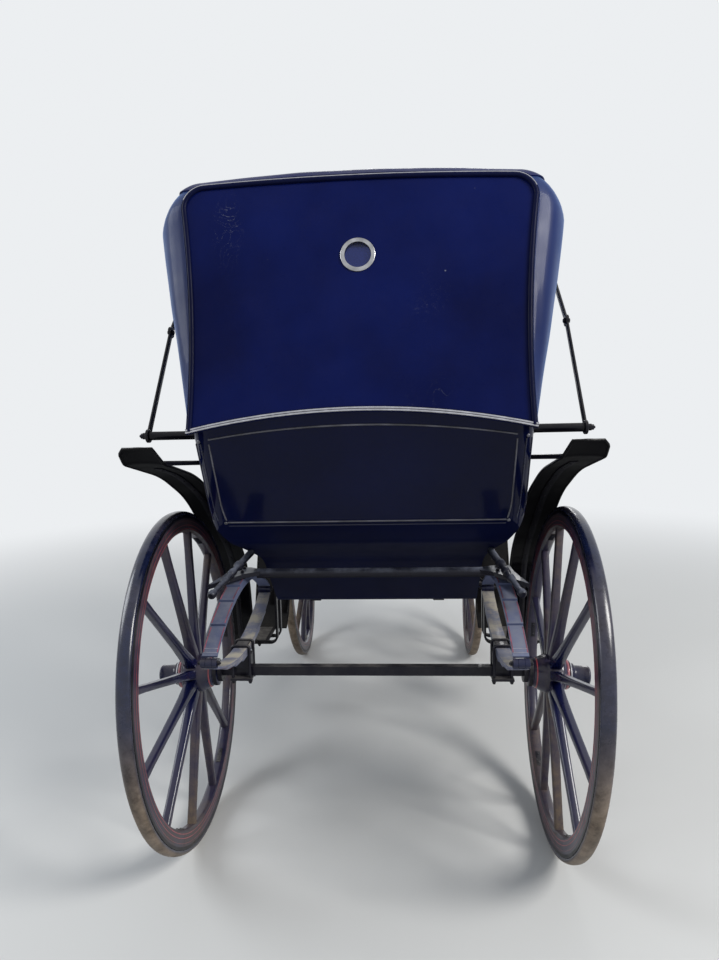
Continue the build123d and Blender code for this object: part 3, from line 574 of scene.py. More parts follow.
# %% The trees
def new_tree(name, inputs):
    """A Geometry Nodes tree with named inputs, its inner ends and its sockets' identifiers."""
    made = bpy.data.node_groups.new(name, "GeometryNodeTree")
    made.interface.new_socket("Geometry", in_out="INPUT", socket_type="NodeSocketGeometry")
    found = {}
    for label, kind in {**inputs, "Finish": "Material"}.items():
        socket = made.interface.new_socket(label, in_out="INPUT", socket_type=f"NodeSocket{kind}")
        found[label] = socket.identifier
    made.interface.new_socket("Geometry", in_out="OUTPUT", socket_type="NodeSocketGeometry")
    return made, made.nodes.new("NodeGroupInput").outputs, found


def finish_tree(tree, geometry, given):
    """Ends a tree in Realize Instances and Set Material."""
    real = add(tree, "GeometryNodeRealizeInstances", {"Geometry": geometry}).outputs[0]
    painted = add(tree, "GeometryNodeSetMaterial", {"Geometry": real, "Material": given["Finish"]}).outputs[0]
    add(tree, "NodeGroupOutput", {"Geometry": painted})


bar_tree, given, bar_inputs = new_tree("bar_along_line", {"Radius": "Float", "Sides": "Int"})
ring = add(bar_tree, "GeometryNodeCurvePrimitiveCircle", {
    "Resolution": given["Sides"], "Radius": given["Radius"]}).outputs["Curve"]
bar = add(bar_tree, "GeometryNodeCurveToMesh", {
    "Curve": given["Geometry"], "Profile Curve": ring, "Fill Caps": True}).outputs[0]
finish_tree(bar_tree, bar, given)

stud_tree, given, stud_inputs = new_tree("fastener_on_each_point", {"Fastener": "Object"})
facing, size = (add(stud_tree, "GeometryNodeInputNamedAttribute", {"Name": label}, data_type=kind).outputs[0]
                for label, kind in (("facing", "FLOAT_VECTOR"), ("size", "FLOAT")))
turn = add(stud_tree, "FunctionNodeAlignRotationToVector", {"Vector": facing}, axis="Z").outputs[0]
shape = add(stud_tree, "GeometryNodeObjectInfo", {"Object": given["Fastener"]}).outputs["Geometry"]
placed = add(stud_tree, "GeometryNodeInstanceOnPoints", {
    "Points": given["Geometry"], "Instance": shape, "Rotation": turn, "Scale": size}).outputs[0]
finish_tree(stud_tree, placed, given)

spoke_tree, given, spoke_inputs = new_tree("spokes_round_hub", {"Count": "Int", "First turn": "Float"})
index = add(spoke_tree, "GeometryNodeInputIndex").outputs[0]
spot = add(spoke_tree, "GeometryNodeMeshLine", {"Count": given["Count"], "Offset": (0, 0, 0)}).outputs[0]
step = maths(spoke_tree, "DIVIDE", 2 * math.pi, given["Count"])
angle = plus(spoke_tree, times(spoke_tree, index, step), given["First turn"])
turn = add(spoke_tree, "ShaderNodeCombineXYZ", {"X": angle}).outputs[0]
placed = add(spoke_tree, "GeometryNodeInstanceOnPoints", {
    "Points": spot, "Instance": given["Geometry"], "Rotation": turn}).outputs[0]
finish_tree(spoke_tree, placed, given)
print("trees:", [tree.name for tree in (bar_tree, stud_tree, spoke_tree)])


# %% [markdown]
# A tree is added as a modifier and its result is kept as plain mesh, so that the piece can be
# welded and shaded like the others. Nuts and studs are small shapes that are modelled once.


# %% Bars and fasteners
def with_tree(made, node_tree, identifiers, values):
    """Adds a tree as a modifier, fills its inputs and turns the result into plain mesh."""
    modifier = made.modifiers.new(node_tree.name, "NODES")
    modifier.node_group = node_tree
    for label, value in values.items():
        modifier[identifiers[label]] = value
    made.update_tag()
    return baked(made)


def bars(name, paths, radius, finish, body, slot, closed=False, sides=10):
    """Round bars along paths of points, as one piece."""
    curve = bpy.data.curves.new(name, "CURVE")
    curve.dimensions = "3D"
    for path in paths:
        spline = curve.splines.new("POLY")
        spline.points.add(len(path) - 1)
        spline.use_cyclic_u = closed
        for point, place in zip(spline.points, path):
            point.co = (*place, 1)
    made = bpy.data.objects.new(name, curve)
    scene.collection.objects.link(made)
    made = with_tree(made, bar_tree, bar_inputs, {"Radius": radius, "Sides": sides, "Finish": finish})
    tidy(made, 50, 1e-6)
    settle(made, body)
    return made


def fasteners(name, places, fastener, finish, body):
    """Copies of a fastener on (point, direction, size) places, as one piece."""
    mesh = bpy.data.meshes.new(name)
    mesh.from_pydata([tuple(place) for place, facing, size in places], [], [])
    directions = [part for place, facing, size in places for part in Vector(facing).normalized()]
    mesh.attributes.new("facing", "FLOAT_VECTOR", "POINT").data.foreach_set("vector", directions)
    sizes = [size for place, facing, size in places]
    mesh.attributes.new("size", "FLOAT", "POINT").data.foreach_set("value", sizes)
    made = bpy.data.objects.new(name, mesh)
    scene.collection.objects.link(made)
    made = with_tree(made, stud_tree, stud_inputs, {"Fastener": fastener, "Finish": finish})
    tidy(made, 40)
    settle(made, body)
    return made


def pattern(name, points, faces):
    """A shape that a tree copies, kept out of the scene's own pieces."""
    mesh = bpy.data.meshes.new(name)
    mesh.from_pydata([tuple(point) for point in points], [], faces)
    made = bpy.data.objects.new(name, mesh)
    made.use_fake_user = True
    return made


def stacked(rings, sides):
    """A closed upright shape from (radius, height) rings."""
    return tube([[Vector((radius * math.cos(turn), radius * math.sin(turn), height)) for turn in turns(sides)]
                 for radius, height in rings])


hex_nut = pattern("hex_nut", *merged([
    stacked([(0.0105, 0.0), (0.0105, 0.0015)], 16),
    stacked([(0.0085, 0.0015), (0.0085, 0.008), (0.0078, 0.009)], 6),
    stacked([(0.0042, 0.009), (0.0042, 0.012), (0.0034, 0.013)], 10)]))
dome_stud = pattern("dome_stud", *stacked(
    [(0.008, 0.0), (0.0078, 0.0016), (0.0064, 0.0036), (0.004, 0.0048), (0.0012, 0.0052)], 14))
print("fasteners:", hex_nut.name, dome_stud.name)

# %% [markdown]
# ## The wheels
#
# A carriage wheel is a turned nave, spokes that lean outwards (the dish), a felloe of bent wood
# in sections, and a rubber tyre held in a steel channel. The wheels lean out by the camber of
# the axle arms. Each wheel is modelled about its own axle, and the joint's place and axis from
# the frame set it in position, so it turns truly about its arm.

# %% Sizes of the wheels
WHEELS = {
    "rear": {"radius": 0.550, "spokes": 12, "turn": 16.0},
    "front": {"radius": 0.430, "spokes": 10, "turn": 16.0},
}
DISH, NAVE_RADIUS, TYRE_DEPTH, FELLOE_DEPTH, FELLOE_HALF = 0.026, 0.062, 0.026, 0.048, 0.020
SEGMENTS, HAIR_GAP = 144, 0.0007
joints = {joint["name"]: joint for joint in frame["joints"]}
print("wheels across:", {end: 2 * spec["radius"] for end, spec in WHEELS.items()})


def wheel_frame(end, side):
    """Matrix from a wheel's own frame, X outward along its axle, to its place."""
    joint = joints[f"{end}_wheel_{side}_turn"]
    sign = 1 if side == "right" else -1
    outward = (Vector(joint["axis"]) * -sign).normalized()
    forward = Vector((0, 1, 0))
    return placed_frame(outward, forward, outward.cross(forward) * sign, Vector(joint["pos_m"]))


def felloe_low(spec):
    """Inner radius of a wheel's felloe."""
    return spec["radius"] - TYRE_DEPTH - FELLOE_DEPTH


def felloe_joints(spec):
    """Turns of the joints between the felloe's sections, each two spokes long."""
    return [2 * math.pi * (index + 0.25) / (spec["spokes"] // 2) + math.radians(spec["turn"])
            for index in range(spec["spokes"] // 2)]


# %% [markdown]
# The tyre's section is a half-round of rubber with slightly bulging walls, seated between the
# channel's two flanges, which leave a dark line on each side. The felloe has bevelled inner
# edges and small gaps where its sections meet, each bridged by an iron plate with two bolts.


# %% Tyre, channel and felloe
def both_walls(wall, between=()):
    """A section's right wall with its mirror image, joined by the points between them."""
    return [(-across, height) for across, height in wall] + list(between) + wall[::-1]


def tyre_profile(radius):
    """Section of the rubber, from one wall over the crown to the other."""
    inner = radius - TYRE_DEPTH + 0.003
    wall = [(0.0165, inner), (0.0178, inner + 0.006), (0.0200, inner + 0.0085), (0.0203, inner + 0.0115)]
    crown = []
    for step in range(11):
        turn = math.pi * (0.08 + 0.84 * step / 10)
        crown.append((-0.0203 * math.cos(turn) / math.cos(math.pi * 0.08),
                      radius - 0.0110 + 0.0110 * math.sin(turn)))
    return both_walls(wall, crown)


def channel_profile(radius):
    """Section of the steel channel round the felloe."""
    base = radius - TYRE_DEPTH
    return both_walls([(0.0206, base), (0.0206, base + 0.0082), (0.0196, base + 0.0094),
                       (0.0186, base + 0.0082), (0.0180, base + 0.0028)])


def felloe_sections(spec, matrix):
    """The felloe's sections, with a hair gap between them."""
    low, half, steps = felloe_low(spec), FELLOE_HALF, 20
    section = both_walls([(half, low + FELLOE_DEPTH), (half, low + 0.009), (half - 0.003, low + 0.005),
                          (half - 0.008, low + 0.001), (half - 0.011, low)])
    span = 2 * math.pi / (spec["spokes"] // 2) - HAIR_GAP / low
    return merged([tube([[about(matrix, along, radius, start + span * step / steps)
                          for along, radius in section] for step in range(steps + 1)])
                   for start in felloe_joints(spec)])


# %% [markdown]
# A spoke is square where it leaves the nave and rounder towards the felloe. Its table gives the
# share of its length, its half-depth, its half-width and how square it is there.

# %% Spokes
SPOKE_SIDES = 28
SPOKE_SHAPE = [
    (0.0, 0.0185, 0.0140, 9.0), (0.07, 0.0185, 0.0140, 9.0), (0.13, 0.0178, 0.0146, 6.0),
    (0.22, 0.0163, 0.0138, 4.6), (0.36, 0.0150, 0.0124, 4.2), (0.62, 0.0136, 0.0113, 4.0),
    (0.86, 0.0130, 0.0109, 4.0), (0.93, 0.0134, 0.0116, 4.4), (1.0, 0.0134, 0.0116, 4.4)]


def one_spoke(spec):
    """Points and faces of a spoke in the wheel's own frame."""
    start, finish = Vector((-DISH, 0, NAVE_RADIUS - 0.012)), Vector((-0.001, 0, felloe_low(spec) + 0.006))
    along = (finish - start).normalized()
    across = Vector((along.z, 0, -along.x))
    rows = []
    for share, deep, wide, square in SPOKE_SHAPE:
        centre = start + (finish - start) * share
        row = []
        for index in range(SPOKE_SIDES):
            turn = 2 * math.pi * (index + 0.5) / SPOKE_SIDES
            c, s = math.cos(turn), math.sin(turn)
            swell = (abs(c) ** square + abs(s) ** square) ** (-1 / square)
            row.append(centre + across * (deep * c * swell) + Vector((0, wide * s * swell, 0)))
        rows.append(row)
    return tube(rows)


# %% [markdown]
# The nave swells where the spokes enter it, and iron bands hold it at both ends. Outside the
# spokes sit a flared blue-grey band, a red one, a thin bright ring and the long cap that keeps
# the dirt out of the axle. Painted lines are modelled as films a fraction of a millimetre
# proud, so that they stay crisp from close by.

# %% Profiles of the nave and its rings, as (along the axle, radius)
NAVE = [(-0.105, 0.0175), (-0.105, 0.040), (-0.1035, 0.0418), (-0.090, 0.0418), (-0.0885, 0.0440),
        (-0.080, 0.0475), (-0.070, 0.0535), (-0.058, 0.0590), (-0.0525, 0.0612), (-0.0505, 0.0620),
        (-0.0015, 0.0620), (0.0005, 0.0612), (0.002, 0.0600), (0.002, 0.0175)]
NAVE_RINGS = [
    ("hub_back_band", "dusty_iron", [
        (-0.1045, 0.0415), (-0.1035, 0.0445), (-0.0925, 0.0445), (-0.0915, 0.0415)]),
    ("hub_back_line", "red_line", [
        (-0.0822, 0.0462), (-0.0820, 0.0475), (-0.0786, 0.0492), (-0.0784, 0.0478)]),
    ("hub_flare", "wheel_paint", [
        (0.002, 0.0200), (0.002, 0.0590), (0.004, 0.0600), (0.006, 0.0585), (0.010, 0.0510),
        (0.014, 0.0480), (0.0145, 0.0200)]),
    ("hub_red_band", "pink_band", [
        (0.0145, 0.0200), (0.0145, 0.0470), (0.0160, 0.0482), (0.0205, 0.0482), (0.0220, 0.0470),
        (0.0220, 0.0200)]),
    ("hub_black_ring", "black_enamel", [
        (0.0220, 0.0200), (0.0220, 0.0440), (0.0232, 0.0450), (0.0258, 0.0450), (0.0270, 0.0440),
        (0.0270, 0.0200)]),
    ("hub_bright_ring", "bead_metal", [
        (0.0270, 0.0200), (0.0270, 0.0402), (0.0280, 0.0414), (0.0306, 0.0414), (0.0318, 0.0402),
        (0.0318, 0.0200)]),
]
HUB_CAP = [(0.0318, 0.0170), (0.0318, 0.0350), (0.0330, 0.0365), (0.0395, 0.0365), (0.0410, 0.0350),
           (0.0420, 0.0318), (0.0440, 0.0308), (0.0470, 0.0306), (0.0860, 0.0300), (0.0868, 0.0306),
           (0.0890, 0.0306), (0.0900, 0.0298), (0.0925, 0.0288), (0.0936, 0.0270), (0.0940, 0.0240),
           (0.0940, 0.0), (0.0465, 0.0), (0.0465, 0.0170)]
RIM_LINES = [(0.0115, 0.0020), (0.0235, 0.0020), (0.0385, 0.0007)]
LINE_FILM = 0.0003


def painted_ring(along, radius, wide):
    """A film of paint round the axle, on a face across it."""
    outer = along + (LINE_FILM if along > 0 else -LINE_FILM)
    return [(along, radius), (outer, radius), (outer, radius + wide), (along, radius + wide)]


# %% [markdown]
# The tyres are solid rubber, brown where they meet the road and elsewhere tinted slate blue, a
# painted reflection of a blue sky on the dark rubber.
# A wheel's dust follows its distance from the hub and not its height, because the
# wheel turns, so these finishes read the radius from the hub's own centre. Only the mud on the
# tread is thicker low down too, as on a carriage that has stood since its last drive.


# %% Finishes that follow the hub
def about_hub(tree, place, matrix):
    """Distance from a wheel's axle, read from Object coordinates."""
    arm = vector(tree, "SUBTRACT", place, matrix.to_translation())[0]
    along = vector(tree, "DOT_PRODUCT", arm, matrix.to_3x3().col[0].normalized())["Value"]
    whole = vector(tree, "DOT_PRODUCT", arm, arm)["Value"]
    return maths(tree, "SQRT", maths(tree, "SUBTRACT", whole, times(tree, along, along)))


def tyre_rubber(name, matrix, radius):
    """Dark rubber tinted slate blue as a painted sky reflection, with dried mud in patches on its tread, more
    of it low down.
    """
    made, tree, shader, place = material(name)
    tread = ranged(tree, about_hub(tree, place, matrix), radius - 0.014, radius - 0.004)
    fleck = clouds(tree, place, 22.0, 9.0, 0.7)
    # The walls' slate blue on dark rubber is a painted reflection of a blue sky.
    wall = ramp(tree, fleck, 0.35, (0.003, 0.005, 0.020), 0.7, (0.007, 0.012, 0.044))
    road = ramp(tree, fleck, 0.3, (0.07, 0.047, 0.028), 0.7, (0.30, 0.235, 0.175))
    low = ranged(tree, upright_part(tree, place), 0.62, 0.38)
    patch = ranged(tree, clouds(tree, place, 3.0, 6.0, 0.65), 0.46, 0.66)
    muddy = times(tree, tread, plus(tree, times(tree, low, 0.85), times(tree, patch, 0.16)))
    fill(tree, shader, {
        "Base Color": mix(tree, muddy, wall, road), "Specular IOR Level": 0.25,
        "Roughness": plus(tree, times(tree, muddy, 0.4), times(tree, fleck, 0.5)),
        "Coat Weight": times(tree, maths(tree, "SUBTRACT", 1.0, muddy), 0.6), "Coat Roughness": 0.2,
        "Normal": bent_normal(tree, fleck, 0.4, 0.0006)})
    return made


def spoke_number(tree, place, matrix, spec):
    """Which spoke a point belongs to, counted round the hub."""
    arm = vector(tree, "SUBTRACT", place, matrix.to_translation())[0]
    forward, upward = (vector(tree, "DOT_PRODUCT", arm, matrix.to_3x3().col[column])["Value"]
                       for column in (1, 2))
    turn = maths(tree, "SUBTRACT", maths(tree, "ARCTAN2", forward, upward), math.radians(spec["turn"]))
    number = maths(tree, "ROUND", times(tree, turn, spec["spokes"] / (2 * math.pi)))
    return maths(tree, "FLOORED_MODULO", number, spec["spokes"])


def spoke_paint(name, matrix, radius, spec=None):
    """Navy paint with road dust that is thicker towards the rim, and browner on some spokes."""
    made, tree, shader, place = material(name)
    rim = ranged(tree, about_hub(tree, place, matrix), 0.1, radius)
    patch = ranged(tree, clouds(tree, place, 3.2, 3.0), 0.42, 0.62)
    if spec:
        number = plus(tree, spoke_number(tree, place, matrix, spec), 31.0)
        chance = add(tree, "ShaderNodeTexWhiteNoise", {"W": number}, noise_dimensions="1D").outputs["Value"]
        patch = times(tree, plus(tree, patch, 0.35), ranged(tree, chance, 0.3, 0.9, 0.0, 1.7))
    fine = ranged(tree, clouds(tree, place, 34.0, 9.0, 0.72), 0.3, 0.7)
    dust = times(tree, plus(tree, times(tree, patch, 0.45), times(tree, rim, 0.22)),
                 plus(tree, times(tree, fine, 0.75), 0.25))
    fill(tree, shader, {
        "Base Color": mix(tree, dust, (0.003, 0.005, 0.036), (0.150, 0.112, 0.075)),
        "Roughness": plus(tree, times(tree, dust, 0.6), 0.26), "Specular IOR Level": 0.2,
        "Coat Weight": maths(tree, "SUBTRACT", 0.6, dust), "Coat Roughness": 0.12,
        "Normal": bent_normal(tree, fine, 0.15, 0.0004)})
    return made


# %% [markdown]
# Each wheel's pieces ride on its own body. One small function makes all that is turned, and the
# spokes are copies of one spoke, which the tree above sets round the hub.

# %% Build the four wheels
PLATE_SECTION = both_walls([(0.008, 0.0), (0.0088, 0.0012), (0.007, 0.0025)])
PLATE_HALF, BOLT_REACH = 0.028, 0.018


def bridge_plate(turn, low, matrix):
    """Iron plate under a felloe joint."""
    return tube([[about(matrix, along, low - depth, turn + step * PLATE_HALF / 3 / low)
                  for along, depth in PLATE_SECTION] for step in range(-3, 4)])


def build_wheel(end, side):
    """Every piece of one wheel, riding on that wheel's body."""
    spec, matrix, body = WHEELS[end], wheel_frame(end, side), f"{end}_wheel_{side}"
    radius, low, here = spec["radius"], felloe_low(spec), f"{end}_{side}"

    def lathe(name, profile, finish, slot="navy_lacquer", crease=40, replaced=None):
        made = piece(f"{name}_{here}", *turned(profile, SEGMENTS, matrix), finish, body, slot, crease, 1e-6)
        if replaced:
            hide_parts(replaced)

    rubber = tyre_rubber(f"rubber_{here}", matrix, radius)
    paint = spoke_paint(f"rim_paint_{here}", matrix, radius)
    own_paint = spoke_paint(f"spoke_paint_{here}", matrix, radius, spec)
    lathe("tyre", tyre_profile(radius), rubber, "tyre_rubber", replaced=f"{end}_tyre_{side}")
    lathe("channel", channel_profile(radius), black_enamel, "black_iron", 30)
    felloe = piece(f"felloe_{here}", *felloe_sections(spec, matrix), paint, body, "navy_lacquer", 25, 1e-6)
    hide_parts(f"{end}_wheel_{side}")
    spoke = piece(f"spokes_{here}", *one_spoke(spec), own_paint, None, None)
    spoke = with_tree(spoke, spoke_tree, spoke_inputs, {
        "Count": spec["spokes"], "First turn": -math.radians(spec["turn"]), "Finish": own_paint})
    spoke.data.transform(matrix)
    tidy(spoke, 40, 1e-6)
    settle(spoke, body)
    lathe("nave", NAVE, paint)
    for name, finish, profile in NAVE_RINGS:
        lathe(name, profile, finishes[finish])
    lathe("hub_cap", HUB_CAP, navy_paint, replaced=f"{end}_hub_cap_{side}")
    lines = merged([turned(painted_ring(face, low + place, wide), SEGMENTS, matrix)
                    for face in (-FELLOE_HALF, FELLOE_HALF) for place, wide in RIM_LINES])
    piece(f"rim_lines_{here}", *lines, red_line, body, "navy_lacquer", 40, 1e-6)
    plates, heads = [], []
    for turn in felloe_joints(spec):
        plates.append(bridge_plate(turn, low, matrix))
        for angle in (turn - BOLT_REACH / low, turn + BOLT_REACH / low):
            inward = matrix.to_3x3() @ Vector((0, -math.sin(angle), -math.cos(angle)))
            heads.append((about(matrix, 0, low - 0.0024, angle), inward, 0.5))
    piece(f"felloe_plates_{here}", *merged(plates), dusty_iron, body, "black_iron", 40, 1e-6)
    fasteners(f"felloe_bolts_{here}", heads, dome_stud, dusty_iron, body)


for end in WHEELS:
    for side in ("left", "right"):
        build_wheel(end, side)

# %% [markdown]
# ## The hood
#
# The hood is patent leather over wooden bows. It is one continuous skin: its back is a flat
# leaning panel, and from the panel's seam the leather swells out to the first bow, then runs
# taut over the others, sinking a little between them. The bows' outlines are a short table.
# Points are matched along each outline, and a smooth curve joins them from bow to bow.

# %% The outlines of the hood, in millimetres over the rail
RAIL, RAIL_CROWN, RAIL_FLAT, WINDOW_HEIGHT = 1376.0, 54.0, 484.0, 1862.0
HOOD_ROWS = [dict(zip(("foot", "top", "rise", "halves", "corner", "crown"), values)) for values in (
    (-322.0, -150.0, 720.0, (482.0, 482.0, 512.0), 70.0, 12.0),
    (-278.0, -118.0, 739.0, (488.0, 532.0, 566.0), 112.0, 18.0),
    (-190.0, -45.0, 756.0, (492.0, 556.0, 600.0), 150.0, 26.0),
    (0.0, 330.0, 792.0, (492.0, 566.0, 602.0), 155.0, 40.0),
    (160.0, 770.0, 738.0, (492.0, 560.0, 592.0), 150.0, 44.0))]
SIDE_STEPS, CORNER_STEPS, ROOF_STEPS = 24, 12, 16
LEATHER, LINING, HOLE_RADIUS = 0.0045, 0.003, 0.040
SIDEWAYS = Vector((1, 0, 0))
print("outlines of the hood:", len(HOOD_ROWS))


def rail_height(x):
    """Height of the crowned back rail, in millimetres."""
    radius = (RAIL_FLAT ** 2 + RAIL_CROWN ** 2) / (2 * RAIL_CROWN)
    reach = min(abs(x), RAIL_FLAT)
    return RAIL + RAIL_CROWN - radius + math.sqrt(radius ** 2 - reach ** 2)


def slope_point(row, x, share):
    """A point of a row's leaning plane, at a share of its rise."""
    return mm(x, row["foot"] + (row["top"] - row["foot"]) * share, RAIL + row["rise"] * share)


def rail_point(x):
    """A point of the back panel's plane on the crowned rail."""
    return slope_point(HOOD_ROWS[0], x, (rail_height(x) - RAIL) / HOOD_ROWS[0]["rise"])


def hood_outline(row, inset=0.0):
    """One row's outline from the left foot over the roof to the right foot."""
    foot, middle, wide = (half - inset for half in row["halves"])
    height = math.hypot(row["top"] - row["foot"], row["rise"])
    full = height - inset
    corner, crown = row["corner"] - inset, row["crown"]
    side = full - crown - corner
    flat = []
    for step in range(SIDE_STEPS):
        t = step / SIDE_STEPS
        x = foot * (1 - t) * (1 - 2 * t) + middle * 4 * t * (1 - t) + wide * t * (2 * t - 1)
        flat.append((x, side * t))
    for step in range(CORNER_STEPS):
        turn = math.pi / 2 * step / CORNER_STEPS
        flat.append((wide - corner + corner * math.cos(turn), side + corner * math.sin(turn)))
    for step in range(ROOF_STEPS + 1):
        x = (wide - corner) * (1 - step / ROOF_STEPS)
        flat.append((x, full - crown * (x / (wide - corner)) ** 2))
    half = [(x, along / height) for x, along in flat]
    whole = [(-x, share) for x, share in half] + half[-2::-1]
    return [slope_point(row, x, share) for x, share in whole]


# %% [markdown]
# Between the first three outlines the curve is a Hermite spline, which keeps the swelling
# smooth. Between bows it is straight, less a sag that grows to the middle of each bay, and a
# slow noise adds the shallow dents of old leather.


# %% The skin between the outlines
HOOD_MIDDLE = mm(0, 120, 1750)
DENT_CENTRE = 1.72


def hood_skin(inset=0.0, sag=0.034):
    """Rows of points from the seam of the back panel to the front edge."""
    outlines = [hood_outline(row, inset) for row in HOOD_ROWS]
    rows = []
    for t in [0, 0.25, 0.5, 0.75, 1, 1.2, 1.4, 1.6, 1.8] + [2 + step / 14 for step in range(29)]:
        first = min(int(t), 3)
        share = t - first
        row = []
        for p in zip(*outlines):
            if first < 2:
                through = (p[2] - p[0]) * 0.5
                leaving = through if first else (p[1] - p[0]) * 1.15
                arriving = (p[3] - p[2]).normalized() * (p[2] - p[1]).length * 0.9 if first else through
                s2, s3 = share ** 2, share ** 3
                point = (p[first] * (2 * s3 - 3 * s2 + 1) + leaving * (s3 - 2 * s2 + share)
                         + p[first + 1] * (3 * s2 - 2 * s3) + arriving * (s3 - s2))
                bay = 0.0
            else:
                point = p[first].lerp(p[first + 1], share)
                bay = math.sin(math.pi * share) ** 2 * (p[first + 1] - p[first]).length * sag
            inward = Vector((-point.x, 0, DENT_CENTRE - point.z)).normalized()
            dent = noise.noise(point * 3.1) * 0.0035 + noise.noise(point * 9.0) * 0.0012
            over_rail = point.z - RAIL / 1000
            edge = min(1.0, t * 2.5, (4 - t) * 4) * min(1.0, over_rail * 12)
            row.append(point + inward * (bay * min(1.0, over_rail * 8) + dent * max(0.0, edge)))
        rows.append(row)
    return rows


def back_panel(inset=0.0, bow=0.004):
    """Rows of points of the back panel, a patch between its two seams, the roof and the rail."""
    outline = hood_outline(HOOD_ROWS[0], inset)
    left, right = outline[:SIDE_STEPS + 1], outline[::-1][:SIDE_STEPS + 1]
    top = outline[SIDE_STEPS:len(outline) - SIDE_STEPS]
    lengths = [0.0]
    for a, b in zip(top, top[1:]):
        lengths.append(lengths[-1] + (b - a).length)
    shares = [length / lengths[-1] for length in lengths]
    bottom = [rail_point((2 * u - 1) * HOOD_ROWS[0]["halves"][0]) for u in shares]
    outward = (right[-1] - right[0]).cross(SIDEWAYS).normalized()
    outward = outward if outward.y < 0 else -outward
    rows = []
    for index in range(SIDE_STEPS + 1):
        v = index / SIDE_STEPS
        row = []
        for column, u in enumerate(shares):
            point = bottom[column] * (1 - v) + top[column] * v + left[index] * (1 - u) + right[index] * u
            point -= bottom[0] * (1 - u) * (1 - v) + bottom[-1] * u * (1 - v)
            point -= top[0] * (1 - u) * v + top[-1] * u * v
            swell = min(1.0, 16 * u * (1 - u) * v * (1 - v))
            dent = noise.noise(point * 2.6 + Vector((3, 1, 7))) * 0.005 + noise.noise(point * 7.0) * 0.0015
            row.append(point + outward * (bow + dent) * swell)
        rows.append(row)
    return rows


# %% [markdown]
# A skin becomes leather with Solidify, which moves a copy of it inwards and closes the rim. The
# faces must all point outwards before that, so they are made consistent, tested against the
# middle of the hood, and turned if they face it.

# %% Leather, lining and the window's hole
def skin_piece(name, parts, leathers, thickness, rim=0):
    """One closed sheet made of (points, faces) parts, each with its own finish, and its area."""
    points, faces = merged(parts)
    kinds = [kind for kind, part in enumerate(parts) for face in part[1]]
    mesh = bpy.data.meshes.new(name)
    mesh.from_pydata([tuple(point) for point in points], [], faces)
    mesh.polygons.foreach_set("material_index", kinds)
    for leather in leathers:
        mesh.materials.append(leather)
    work = bmesh.new()
    work.from_mesh(mesh)
    bmesh.ops.remove_doubles(work, verts=work.verts, dist=1e-5)
    bmesh.ops.recalc_face_normals(work, faces=work.faces)
    if sum((face.calc_center_median() - HOOD_MIDDLE).dot(face.normal) * face.calc_area()
           for face in work.faces) < 0:
        bmesh.ops.reverse_faces(work, faces=work.faces)
    area = sum(face.calc_area() for face in work.faces)
    work.to_mesh(mesh)
    work.free()
    made = bpy.data.objects.new(name, mesh)
    scene.collection.objects.link(made)
    wall = made.modifiers.new("wall", "SOLIDIFY")
    wall.thickness, wall.offset, wall.use_even_offset = thickness, -1.0, False
    wall.material_offset_rim = rim
    return baked(made), area


def window_frame_matrix():
    """Matrix of the round window, its Z pointing out of the back panel."""
    row = HOOD_ROWS[0]
    up = (slope_point(row, 0, 1) - slope_point(row, 0, 0)).normalized()
    out = up.cross(SIDEWAYS)
    out = out if out.y < 0 else -out
    return placed_frame(up.cross(out), up, out, slope_point(row, 0, (WINDOW_HEIGHT - RAIL) / row["rise"]))


def bored(made):
    """The piece with the window's round hole cut through it."""
    points, faces = stacked([(HOLE_RADIUS, -0.06), (HOLE_RADIUS, 0.06)], 64)
    points = [window_frame_matrix() @ point for point in points]
    cutter = piece("window_cutter", points, faces, nickel, None, None, 35, 1e-7)
    cut = made.modifiers.new("window", "BOOLEAN")
    cut.operation, cut.solver, cut.object = "DIFFERENCE", "EXACT", cutter
    made = baked(made)
    bpy.data.objects.remove(cutter)
    return made


def finished_skin(made):
    """Marks the skin's edges and settles it on the carriage's body."""
    tidy(made, 38)
    settle(made, "carriage_body")
    return made


cover, cover_area = skin_piece("hood_cover", [grid(hood_skin()), grid(back_panel())],
                               [side_patent, hood_patent, piping_hide], LEATHER, 2)
cover = finished_skin(bored(cover))
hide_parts("hood_leather")
lining, lining_area = skin_piece("hood_lining", [grid(hood_skin(9.0, 0.03)), grid(back_panel(9.0, -0.005))],
                                 [wool_lining], LINING)
for vertex in lining.data.vertices:
    seam = (vertex.co.z - RAIL / 1000) / 0.75
    vertex.co.y += 0.007 * max(0.0, 1 - (vertex.co.y - mm(0, -322 + 172 * seam, 0).y) / 0.08)
lining = finished_skin(bored(lining))
print("hood leather:", round(cover_area, 2), "m2, faces:", len(cover.data.polygons))

# %% [markdown]
# The back panel's seam has a thick roll of leather, which shows as a dark band, and a thin
# bright bead outside it. Over the top the bead is a broad half-round moulding, and a strip of
# the roof's leather, cut short at both ends, lies on it. A double bead follows the rail.


# %% Piping, beads and the roof's strip
def moved(path, amount, away):
    """A path moved sideways in its own plane, away from a point."""
    normal = window_frame_matrix().to_3x3().col[2].normalized()
    result = []
    for index, point in enumerate(path):
        along = (path[min(index + 1, len(path) - 1)] - path[max(index - 1, 0)]).normalized()
        across = along.cross(normal).normalized()
        if (point - away).dot(across) < 0:
            across = -across
        result.append(point + across * amount)
    return result


